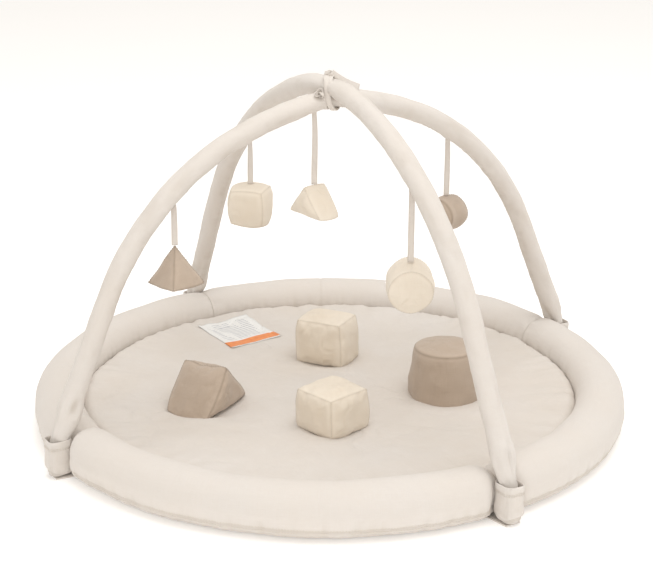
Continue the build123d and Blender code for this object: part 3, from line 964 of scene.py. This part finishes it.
def build_border(quarter, name):
    """One quarter of the bolster, swelling from its pinch seams and gathered by its inner and low seams."""
    around = 72
    turn = pi / 2 * RING_RADIUS
    near = 0.0004 + PINCH_LOBE * np.linspace(0, 1, 13)[:-1] ** 1.6
    aways = np.concatenate((near, np.linspace(PINCH_LOBE, turn - PINCH_LOBE, 158), turn - near[::-1]))
    runs = quarter * pi / 2 + aways / RING_RADIUS
    rings = np.empty((len(runs), around, 3))
    painted_shade = np.zeros((len(runs), around))
    for i, (along, run) in enumerate(zip(aways, runs)):
        arc = run * RING_RADIUS
        away = min(along, turn - along)
        pinch = bell(away, 0.018)
        upright = bell(arc - JOIN_AT, 0.0014)
        for j in range(around):
            angle = 2 * pi * j / around
            point, centre = border_point(away, run, angle)
            out = (point - centre) / max(1e-6, np.linalg.norm(point - centre))
            height = point[2]
            outside = cos(angle) > 0.2
            # gathers fan out from the seam low on the outer side and from the one by the pad
            low_seam = bell(height - 0.020, 0.016) if cos(angle) > 0 else 0.0
            inner_seam = bell(angle - pi * 1.08, 0.55)
            comb = noise.noise(Vector((arc / 0.0085, 3.1 * quarter, 0.6 * angle)))
            slow = noise.noise(Vector((arc / 0.050, 0.7 * angle, 5.5 + quarter)))
            big = noise.noise(Vector((arc / 0.120, 0.5 * angle, 1.5 + quarter)))
            depth = 0.0015 * slow + 0.0017 * big
            depth += 0.0016 * comb * (0.75 * low_seam + 1.0 * inner_seam)
            # below the low seam the cover's foot is a flatter band, coloured darker as painted shade where
            # it meets the floor
            groove = bell(height - LOW_SEAM, 0.0017) if outside else 0.0
            band = 1 / (1 + exp((height - LOW_SEAM + 0.001) / 0.0012)) if outside else 0.0
            depth -= 0.0018 * groove + 0.0013 * upright - 0.0012 * comb * band
            # short creases run out of the pinch seam
            crimp = noise.noise(Vector((2.6 * angle, 7.0 + quarter, arc / 0.030)))
            depth += 0.0022 * pinch * crimp
            depth *= min(1.0, away / 0.004)
            rings[i, j] = point + out * depth
            # painted shade in the seam grooves, on the foot band, in the gathers' hollows and by the pinch
            # seams
            painted_shade[i, j] = 0.65 * groove + 0.45 * band + 0.5 * upright
            painted_shade[i, j] += max(0.0, -comb) * (0.6 * low_seam + 0.9 * inner_seam)
            painted_shade[i, j] += 0.45 * bell(away, 0.002) + 0.5 * pinch * max(0.0, -crimp)
    rings[:, :, 2] = np.maximum(rings[:, :, 2], BORDER_FLOOR)
    piece = tube(f"border_{name}", rings, aways, cream_cotton)
    set_attribute(piece, "fold", np.concatenate((painted_shade.ravel(), [0.4, 0.4])))
    worn = np.clip(0.5 - painted_shade.ravel(), 0, 1)
    set_attribute(piece, "worn", np.concatenate((worn, [0, 0])))
    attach(piece, "mat")
    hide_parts(f"border_{name}_cover", f"border_{name}_filling")

    # two rows of stitching by the low seam, following the gathered skin
    column = [j for j in range(around) if 0.2 < cos(2 * pi * j / around) and sin(2 * pi * j / around) < 0]
    lines = []
    for level in (LOW_SEAM - 0.0020, LOW_SEAM + 0.0027):
        path = []
        for i in range(8, len(runs) - 8):
            j = min(column, key=lambda k: abs(rings[i, k, 2] - level))
            path.append(rings[i, j])
        places, directions = resample(path, STITCH_STEP)
        around_ring = np.arctan2(places[:, 1], places[:, 0])
        middles = [(RING_RADIUS * cos(a), RING_RADIUS * sin(a), BORDER_CENTRE) for a in around_ring]
        ups = places - np.array(middles)
        ups /= np.linalg.norm(ups, axis=1)[:, None]
        lines.append((places, directions, ups))
    stitches(f"border_{name}_stitching", lines, thread_cream, "mat")


def build_base():
    """Base cloth: a round sheet with a tab under each pocket."""
    around = 480
    shares = (0.10, 0.25, 0.40, 0.988, 1.0)  # of the outline's radius, at which the rings lie
    outline = []
    for j in range(around):
        angle = 2 * pi * j / around
        radius = BASE_RADIUS + 0.0009 * noise.noise(Vector((30 * cos(angle), 30 * sin(angle), 0.0)))
        for k, arch in enumerate((lower_arch, upper_arch, lower_arch, upper_arch)):
            off = abs((angle - k * pi / 2 + pi) % (2 * pi) - pi)
            if off < 0.2 and radius * sin(off) < TAB_HALF_WIDTH:
                radius = max(radius, (arch.foot + TAB_REACH) / cos(off))
        outline.append((angle, radius))
    vertices = [(0.0, 0.0, BASE_THICK)]
    for level, rings in ((BASE_THICK, shares), (0.0, shares[::-1])):
        for share in rings:
            vertices += [(r * share * cos(a), r * share * sin(a), level) for a, r in outline]
    vertices.append((0.0, 0.0, 0.0))
    faces = hub_faces(around, 2 * len(shares))
    base = mesh_piece("base_sheet", vertices, faces, base_cotton, [v[:2] for v in vertices], smooth=False)
    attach(base, "mat")
    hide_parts("base_cloth")


def build_label(blocks):
    """Care label sewn flat on the pad near its far edge, following the quilted surface."""
    columns, lines = 28, 34
    low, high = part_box("care_label")
    centre = ((low[0] + high[0]) / 2, (low[1] + high[1]) / 2)
    c, s = cos(LABEL_TURN), sin(LABEL_TURN)
    vertices, uvs = [], []
    for side in (0, 1):
        for i in range(lines + 1):
            for j in range(columns + 1):
                u, v = LABEL_WIDTH * j / columns, LABEL_LENGTH * i / lines
                x0, y0 = u - LABEL_WIDTH / 2, v - LABEL_LENGTH / 2
                x = centre[0] + x0 * c - y0 * s
                y = centre[1] + x0 * s + y0 * c
                corner = (abs(2 * x0 / LABEL_WIDTH) * abs(2 * y0 / LABEL_LENGTH)) ** 4
                curl = 0.0016 * corner + 0.0006 * noise.noise(Vector((x / 0.02, y / 0.02, 3.0))) ** 2
                top = pad_height(x, y, blocks)[0] + 0.0011 + curl
                vertices.append((x, y, top - 0.0004 * side))
                uvs.append((u, v))
    row = columns + 1
    half = row * (lines + 1)
    faces = []
    for i in range(lines):
        for j in range(columns):
            a = i * row + j
            faces.append((a, a + 1, a + row + 1, a + row))
            faces.append((half + a, half + a + row, half + a + row + 1, half + a + 1))
    rim = list(range(row))
    rim += [i * row + columns for i in range(1, lines + 1)]
    rim += [lines * row + j for j in reversed(range(columns))]
    rim += [i * row for i in reversed(range(1, lines))]
    for a, b in zip(rim, rim[1:] + rim[:1]):
        faces.append((b, a, half + a, half + b))
    patch = mesh_piece("care_label_patch", vertices, faces, label_satin(), uvs)
    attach(patch, "mat")
    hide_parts("care_label")
    edge = [np.array(vertices[a]) for a in rim[:columns + 1]]
    places, directions = resample(edge, STITCH_STEP)
    places = places + np.array((0, 0.002, 0.0003))
    ups = np.tile((0.0, 0.0, 1.0), (len(places), 1))
    stitches("care_label_stitching", [(places, directions, ups)], thread_cream, "mat")


FOOT_GAP = 0.0006  # between an arch's foot and its pocket
HEM_LEVEL = 0.0497  # height of the groove under the pocket's hem


def build_pocket(index, name, arch):
    """Foot pocket: a small upright pouch with a hemmed mouth that stands open on its outer side."""
    turn = index * pi / 2
    near = arch.mouth[0] - FOOT_RADIUS / cos(arch.lean) - FOOT_GAP
    far = arch.foot + FOOT_RADIUS + FOOT_GAP
    middle, half_depth = (near + far) / 2, (far - near) / 2 + POCKET_WALL
    half_width = FOOT_RADIUS + 0.0016 + POCKET_WALL
    around = 64
    outside = [  # level and growth of the outline, from under the pocket up to its mouth
        (POCKET_BOTTOM + 0.0002, -0.0110), (POCKET_BOTTOM, -0.0085), (POCKET_BOTTOM + 0.0012, -0.0055),
        (0.0062, -0.0026), (0.0100, -0.0006), (0.0150, 0.0008), (0.0210, 0.0010), (0.0270, 0.0006),
        (0.0330, 0.0), (0.0390, -0.0002), (0.0440, -0.0002), (0.0482, 0.0), (HEM_LEVEL, -0.0007),
        (0.0512, 0.0003), (0.0550, 0.0007), (0.0590, 0.0008), (0.0610, 0.0005), (POCKET_TOP, -0.0002),
    ]
    inside = [  # and back down inside it
        (0.0616, -0.0012), (0.0590, -0.0016), (0.0540, -0.0016), (0.0460, -0.0016), (0.0300, -0.0017),
        (0.0120, -0.0018), (0.0048, -0.0030), (0.0044, -0.0070),
    ]
    profile = outside + inside
    rings = np.empty((len(profile), around, 3))
    painted_shade = np.zeros((len(profile), around))
    for i, (level, grow) in enumerate(profile):
        for j in range(around):
            angle = 2 * pi * j / around
            c, s = cos(angle), sin(angle)
            bx, by = signed_power(c, 2 / 4.5), signed_power(s, 2 / 4.5)
            outer = i < len(outside)
            sag = noise.noise(Vector((1.3 * c + 5 * index, 1.3 * s, level / 0.018)))
            pucker = noise.noise(Vector((4.0 * c + index, 4.0 * s, level / 0.011)))
            gathers = 0.35 + bell(level - HEM_LEVEL, 0.006) + bell(level - 0.006, 0.008)
            depth = 0.0011 * sag + 0.0009 * pucker * gathers if outer else 0.0006 * sag
            depth = min(depth, 0.0015)
            # the outer bottom edge is drawn in and up
            slack_foot = max(0.0, bx) * max(0.0, 1 - level / 0.016) if outer else 0.0
            x = middle + (half_depth + grow + depth - 0.007 * slack_foot) * bx
            y = (half_width + grow + depth) * by
            z = level + (0.0008 * sin(angle * 2 + index) if 0.047 < level else 0.006 * slack_foot)
            rings[i, j] = (x * cos(turn) - y * sin(turn), x * sin(turn) + y * cos(turn), z)
            # painted shade in the sagging hollows outside and over the whole inside of the pocket
            painted_shade[i, j] = max(0.0, -(sag + 0.8 * pucker)) * 0.8 if outer else 0.9
    rings[:, :, 2] = np.maximum(rings[:, :, 2], POCKET_BOTTOM)
    lengths = np.concatenate(([0], np.cumsum(np.linalg.norm(np.diff(rings[:, 0], axis=0), axis=1))))
    piece = tube(f"foot_pocket_{name}", rings, lengths, pocket_cotton)
    set_attribute(piece, "fold", np.concatenate((painted_shade.ravel(), [0.5, 0.5])))
    worn = np.where(rings[:, :, 2].ravel() > 0.058, 0.6, 0.1)
    set_attribute(piece, "worn", np.concatenate((worn, [0, 0])))
    subdivide(piece)
    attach(piece, "mat")
    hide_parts(f"pocket_{name}")
    lines = []
    hem_row = [level for level, _ in outside].index(HEM_LEVEL)
    for ring in (hem_row - 1, hem_row + 1):
        loop = np.vstack((rings[ring], rings[ring][:1]))
        places, directions = resample(loop, STITCH_STEP)
        centre = rings[ring].mean(axis=0)
        ups = places - centre
        ups[:, 2] = 0
        ups /= np.linalg.norm(ups, axis=1)[:, None]
        lines.append((places + 0.0002 * ups, directions, ups))
    stitches(f"foot_pocket_{name}_stitching", lines, thread_cream, "mat")


# ---------------------------------------------------------------- flat tapes
TAPE_SIDES = 12


def tape(name, centres, widths, width, thickness=TAPE_THICK):
    """A flat woven tape through centres, its width lying along widths at each, with rounded edges."""
    centres, widths = np.asarray(centres), np.asarray(widths)
    run = np.concatenate(([0.0], np.cumsum(np.linalg.norm(np.diff(centres, axis=0), axis=1))))
    rings = []
    for i in range(len(centres)):
        ahead = centres[min(i + 1, len(centres) - 1)] - centres[max(i - 1, 0)]
        ahead /= np.linalg.norm(ahead)
        side = widths[i] - ahead * np.dot(widths[i], ahead)
        side /= np.linalg.norm(side)
        up = np.cross(ahead, side)
        ring = []
        for k in range(TAPE_SIDES):
            angle = 2 * pi * (k + 0.5) / TAPE_SIDES
            flat, high = signed_power(cos(angle), 0.55), signed_power(sin(angle), 0.75)
            ring.append(centres[i] + side * flat * width / 2 + up * high * thickness / 2)
        rings.append(ring)
    piece = tube(name, np.array(rings), run, tape_cotton)
    count = len(piece.data.vertices)
    # an even, slight darkening all along the tape, read by the cotton through its painted-shade attribute
    set_attribute(piece, "fold", np.full(count, 0.1))
    set_attribute(piece, "worn", np.full(count, 0.2))
    return piece


def turned_direction(first, second, share):
    """Unit vector between two horizontal directions, at a share of the turn."""
    mixed = np.array(first) * (1 - share) + np.array(second) * share
    return mixed / np.linalg.norm(mixed)


# toy: top of its ribbon, height of the ribbon's foot, sideways bow, direction of its width at top and foot
RIBBONS = {
    "pyramid": ((-0.274, 0.0, 0.3924), 0.3288, 0.0012, (0.55, -0.83), (0.90, -0.44)),
    "cube": ((0.0, 0.255, 0.4094), 0.3248, -0.0010, (0.95, 0.30), (0.80, -0.60)),
    "wedge": ((-0.028, 0.0, 0.5045), 0.3878, 0.0030, (0.30, -0.95), (0.88, -0.47)),
    "disc": ((0.228, 0.0, 0.4280), 0.3308, 0.0012, (0.30, -0.95), (0.85, -0.52)),
    "roller": ((0.0, -0.226, 0.4339), 0.3168, -0.0014, (0.95, -0.10), (0.75, -0.66)),
}


def build_ribbon(toy):
    """One hanging ribbon, sewn flat to the sleeve at its top and into the toy's seam at its foot."""
    top, foot, bow, top_width, foot_width = RIBBONS[toy]
    length = top[2] - foot
    steps = 26
    centres, widths = [], []
    for i in range(steps + 1):
        share = i / steps
        lean = bow * sin(pi * share)
        direction = turned_direction(top_width, foot_width, share)
        across = np.array((-direction[1], direction[0]))
        centres.append((top[0] + lean * across[0], top[1] + lean * across[1], top[2] - length * share))
        widths.append((*direction, 0.0))
    name = f"{toy}_hanging_ribbon"
    piece = tape(name, centres, widths, RIBBON_WIDTH)
    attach(piece, f"{toy}_ribbon")
    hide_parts(f"{toy}_ribbon")
    lines = []
    for side in (-1, 1):
        row = [np.array(c) + side * 0.0033 * np.array(w) for c, w in zip(centres, widths)]
        places, directions = resample(row, 0.0034)
        nearest = [widths[int(i * steps / len(places))] for i in range(len(places))]
        for face in (-1, 1):
            ups = np.cross(directions, np.array(nearest)) * face
            ups /= np.linalg.norm(ups, axis=1)[:, None]
            lines.append((places + ups * (TAPE_THICK / 2 - 0.0001), directions, ups))
    stitches(f"{name}_stitching", lines, thread_cream, f"{toy}_ribbon")


def tie_piece(name, node, centres, widths, width, thickness=TIE_THICK):
    """One length of the tie's tape."""
    piece = tape(name, centres, widths, width, thickness)
    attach(piece, "frame")
    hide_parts(node)


def tie_turn(name, shift, reach, rise, lean):
    """One turn of the strap round both sleeves, in the upright plane between the arches."""
    diagonal = Vector((1, 1, 0)).normalized()
    normal = Vector((1, -1, 0)).normalized()
    middle = (LOWER_CROWN + UPPER_CROWN) / 2 + 0.0030
    steps = 96
    centres, widths = [], []
    for i in range(steps + 1):
        angle = 2 * pi * i / steps
        x = signed_power(cos(angle), 2 / 3.2) * reach
        z = signed_power(sin(angle), 2 / 3.2) * rise
        wave = shift + lean * z + 0.0012 * sin(3 * angle + 0.6)
        centres.append(diagonal * x + normal * wave + Vector((0, 0, middle + z)))
        widths.append(normal + Vector((0, 0, 0.10 * sin(2 * angle))))
    tie_piece(name, "crossing_tie_loop", centres, widths, 0.0088)


def tie_knot(name, place, size, turn):
    """A flattened overhand knot, turned about the strap's normal."""
    lie = Matrix.Rotation(turn, 3, Vector((1, -1, 0)).normalized())
    steps = 96
    centres, widths = [], []
    for i in range(steps + 1):
        t = 2 * pi * i / steps
        offset = Vector((sin(t) + 2 * sin(2 * t), cos(t) - 2 * cos(2 * t), -0.85 * sin(3 * t))) * size
        centres.append(place + lie @ offset)
        widths.append(lie @ Vector((0.35 * cos(t), 0.35 * sin(t), 1.0)))
    tie_piece(name, "crossing_tie_knot", centres, widths, 0.0062, 0.0017)


def tie_tail():
    """The loose end: it leaves the top knot and droops along the lower arch."""
    steps = 24
    start, end = Vector((0.004, -0.001, 0.5615)), Vector((0.052, -0.004, 0.5345))
    centres, widths = [], []
    for i in range(steps + 1):
        share = i / steps
        droop = 0.0025 * sin(pi * share)
        centres.append(start.lerp(end, share) - Vector((0, 0, droop)))
        widths.append((0.45, 0.25, 0.85))
    tie_piece("tie_tail", "crossing_tie_tail", centres, widths, 0.0100)


def build_tie():
    """Strap round both arches at the crossing, a knot on top, one low on the near side, and the tail."""
    tie_turn("tie_strap", 0.0, 0.0240, 0.0256, 0.16)
    tie_turn("tie_strap_second_turn", 0.0035, 0.0249, 0.0266, -0.22)
    tie_knot("tie_knot", Vector((-0.001, -0.001, 0.5605)), 0.0023, 0.0)
    tie_knot("tie_side_knot", Vector((-0.0270, -0.0145, 0.5350)), 0.0025, pi / 2)
    tie_tail()


# ---------------------------------------------------------------- toys and blocks
MAT_SURFACE = 0.0363
BLOCK_PRESS = 0.008  # how far a block's round underside is pressed flat

# each panel lists the corners it joins
CUBE_PANELS = ((0, 3, 2, 1), (4, 5, 6, 7), (0, 1, 5, 4), (1, 2, 6, 5), (2, 3, 7, 6), (3, 0, 4, 7))
PRISM_PANELS = ((0, 1, 2, 3), (0, 3, 5, 4), (1, 4, 5, 2), (0, 4, 1), (3, 2, 5))
PYRAMID_PANELS = ((0, 3, 2, 1), (0, 1, 4), (1, 2, 4), (2, 3, 4), (3, 0, 4))


def base_corners(width, depth, height):
    """The four lower corners of a solid whose top is at 0."""
    w, d = width / 2, depth / 2
    return [(-w, -d, -height), (w, -d, -height), (w, d, -height), (-w, d, -height)]


def cube_corners(width, depth, height, squash=0.0, skew=(0, 0)):
    """Corners of a block, its top made smaller by squash and pushed aside by skew."""
    low = base_corners(width, depth, height)
    return low + [(x * (1 - squash) + skew[0], y * (1 - squash) + skew[1], 0.0) for x, y, _ in low]


def prism_corners(base, length, height):
    return base_corners(base, length, height) + [(0, -length / 2, 0.0), (0, length / 2, 0.0)]


def pyramid_corners(side, height):
    return base_corners(side, side, height) + [(0, 0, 0)]


def dent(piece, seed):
    """Dents the cloth and puckers it by its seams; returns the seam lines, the painted shade for its puckers
    and creases, and the worn ridges.
    """
    points = coords(piece)
    away = distance_to(points, points[seam_vertices(piece)])
    pucker = smooth_noise(points, 0.0085, seed)
    soft = smooth_noise(points, 0.036, seed + 3.0)
    crease = smooth_noise(points, 0.030, seed + 7.0, 1)
    valley = np.exp(-((crease / 0.07) ** 2)) * np.clip(0.4 + 2 * soft, 0, 1)
    near = np.exp(-((away / 0.0075) ** 2))
    line = np.exp(-((away / 0.0016) ** 2))
    depth = 0.0008 * pucker * near * (1 - line)
    depth += 0.0030 * soft * (1 - 0.5 * near)
    depth -= 0.0019 * valley * (1 - near)
    set_coords(piece, points + normals(piece) * depth[:, None])
    return line, 0.5 * np.clip(-pucker, 0, 1) * near + 0.30 * valley * (1 - near), near * (1 - line)


def finish_sewn(entry, seed):
    """After the simulation: back to its cut size, dented, put in its place, with stitching on its seams."""
    piece, body, colour = entry.piece, entry.body, entry.colour
    points = coords(piece)
    low, high = points.min(axis=0), points.max(axis=0)
    size = np.array(entry.size)
    set_coords(piece, (points - (low + high) / 2) * (size / (high - low)) - np.array((0, 0, size[2] / 2)))
    line, pucker_shade, worn = dent(piece, seed)
    # painted shade along the seam lines, lighter on cream, and in the puckers and creases
    set_attribute(piece, "fold", (0.35 if colour == "cream" else 1.0) * line + pucker_shade)
    set_attribute(piece, "worn", worn)

    lie = Matrix.Translation(entry.place) @ Matrix.Rotation(radians(entry.turn), 4, "Z")
    lie = lie @ Matrix.Rotation(radians(entry.tilt), 4, "Y")
    points = np.array([tuple(lie @ Vector(p)) for p in coords(piece)])
    if entry.floor is not None:
        points[:, 2] = np.maximum(points[:, 2], entry.floor)
    set_coords(piece, points)

    out = normals(piece)
    tree = point_index(points)
    lines = []
    for chain in seam_chains(piece):
        places, directions = resample(points[chain], STITCH_STEP)
        ups = np.array([out[tree.find(p)[1]] for p in places])
        lines.append((places + 0.0001 * ups, directions, ups))
    subdivide(piece, seam_crease=0.55)
    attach(piece, body)
    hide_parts(f"{body}_cover", f"{body}_stuffing")
    thread_material = thread_cream if colour == "cream" else thread_taupe
    stitches(f"{piece.name}_stitching", lines, thread_material, body)


def make_toys():
    """The five hanging toys, each hung from the foot of its ribbon."""
    def hang(toy):
        (x, y, _), foot = RIBBONS[toy][:2]
        return Vector((x, y, foot - 0.0003))

    made = []
    piece = panel_solid("pyramid_toy", pyramid_corners(0.060, 0.063), PYRAMID_PANELS, taupe_cotton)
    made.append(Sewn(piece, "pyramid_toy", "taupe", 0.8, (0.064, 0.064, 0.065), hang("pyramid"), 13,
                     cap=0.005))

    piece = panel_solid("cube_toy", cube_corners(0.062, 0.062, 0.066), CUBE_PANELS, cream_toy_cotton)
    made.append(Sewn(piece, "cube_toy", "cream", 0.9, (0.072, 0.072, 0.073), hang("cube"), 43,
                     pressure=9.0, cap=0.014, bulge=0.24))

    piece = panel_solid("wedge_toy", prism_corners(0.084, 0.040, 0.050), PRISM_PANELS, cream_toy_cotton)
    made.append(Sewn(piece, "wedge_toy", "cream", 0.8, (0.084, 0.047, 0.053), hang("wedge"), 95, bulge=0.16))

    for toy, radius, length, turn, tilt, colour, material in (
        ("disc", 0.029, 0.044, 20, 0, "taupe", taupe_cotton),
        ("roller", 0.035, 0.058, 58, -5, "cream", cream_toy_cotton),
    ):
        piece = turned_solid(f"{toy}_toy", radius, radius, length, material)
        piece.data.transform(Matrix.Rotation(pi / 2, 4, "Y"))
        size = (length + 0.008, 2 * radius + 0.002, 2 * radius + 0.002)
        made.append(Sewn(piece, f"{toy}_toy", colour, 0.85, size, hang(toy), turn, tilt=tilt))
    return made


def drum_solid():
    """The drum block's cut: wider at its foot, with a domed top and a slightly bowed wall."""
    foot_radius, top_radius, height = 0.056, 0.049, 0.084
    piece = turned_solid("drum_block", foot_radius, top_radius, height, taupe_cotton)
    points = coords(piece)
    reach = np.clip(np.hypot(points[:, 0], points[:, 1]) / top_radius, 0, 1)
    points[:, 2] += 0.008 * (1 - reach**2) * (points[:, 2] > -0.001)
    bow = 1 + 0.07 * np.sin(pi * np.clip(-points[:, 2] / height, 0, 1)) * (reach > 0.99)
    points[:, :2] *= bow[:, None]
    set_coords(piece, points)
    return piece


def make_blocks():
    """The four loose blocks; their undersides press flat on the pad."""
    def block(piece, colour, fill, size, turn, bulge):
        low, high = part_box(f"{piece.name}_cover")
        top = MAT_SURFACE + size[2] - BLOCK_PRESS
        place = Vector(((low[0] + high[0]) / 2, (low[1] + high[1]) / 2, top))
        return Sewn(piece, piece.name, colour, fill, size, place, turn, MAT_SURFACE, bulge=bulge)

    made = []
    for body, width, depth, height, turn, squash, skew in (
        ("rear_block", 0.080, 0.092, 0.077, 32, 0.05, (0.001, 0.003)),
        ("front_block", 0.088, 0.086, 0.066, 12, 0.02, (-0.001, 0.001)),
    ):
        corners = cube_corners(width, depth, height, squash, skew)
        piece = panel_solid(body, corners, CUBE_PANELS, cream_toy_cotton)
        size = (width + 0.006, depth + 0.006, height + 0.015)
        made.append(block(piece, "cream", 0.7, size, turn, 0.13))

    made.append(block(drum_solid(), "taupe", 0.8, (0.118, 0.118, 0.101), 0, 0.0))

    piece = panel_solid("wedge_block", prism_corners(0.120, 0.080, 0.067), PRISM_PANELS, taupe_cotton)
    made.append(block(piece, "taupe", 0.75, (0.126, 0.092, 0.079), 30, 0.18))
    return made


# ---------------------------------------------------------------- stage
FLOOR_HALF = 12.0


def build_stage():
    """Plain pale floor, one large soft light above and a weak one in front."""
    bpy.context.scene.view_settings.view_transform = "Standard"
    n = Nodes("floor_white")
    place = n.add("ShaderNodeTexCoord").outputs["Object"]
    soft = n.noise(place, 1.5, 2.0)
    n.link(n.mix(soft, (0.93, 0.93, 0.93), (0.95, 0.95, 0.95)), n.shader.inputs["Base Color"])
    n.shader.inputs["Roughness"].default_value = 0.9
    n.shader.inputs["Emission Color"].default_value = (1.0, 0.985, 0.97, 1.0)
    n.shader.inputs["Emission Strength"].default_value = 0.25
    far = FLOOR_HALF
    corners = [(-far, -far, 0), (far, -far, 0), (far, far, 0), (-far, far, 0)]
    floor = mesh_piece("floor", corners, [(0, 1, 2, 3)], n.material)

    world = bpy.data.worlds.new("studio")
    bpy.context.scene.world = world
    world.use_nodes = True
    background = world.node_tree.nodes["Background"]
    background.inputs["Color"].default_value = (1.0, 0.955, 0.895, 1.0)
    background.inputs["Strength"].default_value = 0.70

    def soft_light(name, place, size, power):
        data = bpy.data.lights.new(name, "AREA")
        data.shape = "DISK"
        data.size = size
        data.energy = power
        light = bpy.data.objects.new(name, data)
        bpy.context.collection.objects.link(light)
        light.location = place
        light.rotation_euler = (Vector((0, 0, 0.1)) - Vector(place)).to_track_quat("-Z", "Y").to_euler()

    soft_light("key", (0.2, -0.4, 3.2), 3.0, 56.0)
    soft_light("fill", (-1.7, -2.5, 1.5), 2.6, 15.0)


# ---------------------------------------------------------------- making
for toy in RIBBONS:
    build_ribbon(toy)
build_tie()
build_sleeves()
pad_blocks = build_pad()
for index, name in enumerate(QUARTERS):
    build_border(index, name)
build_base()
build_label(pad_blocks)
for index, name in enumerate(POCKETS):
    build_pocket(index, name, (lower_arch, upper_arch)[index % 2])
sewn = make_toys() + make_blocks()
for entry in sewn:
    entry.bow_seams()
run_simulation(sewn)
for seed, entry in enumerate(sewn, 1):
    finish_sewn(entry, seed)
build_stage()
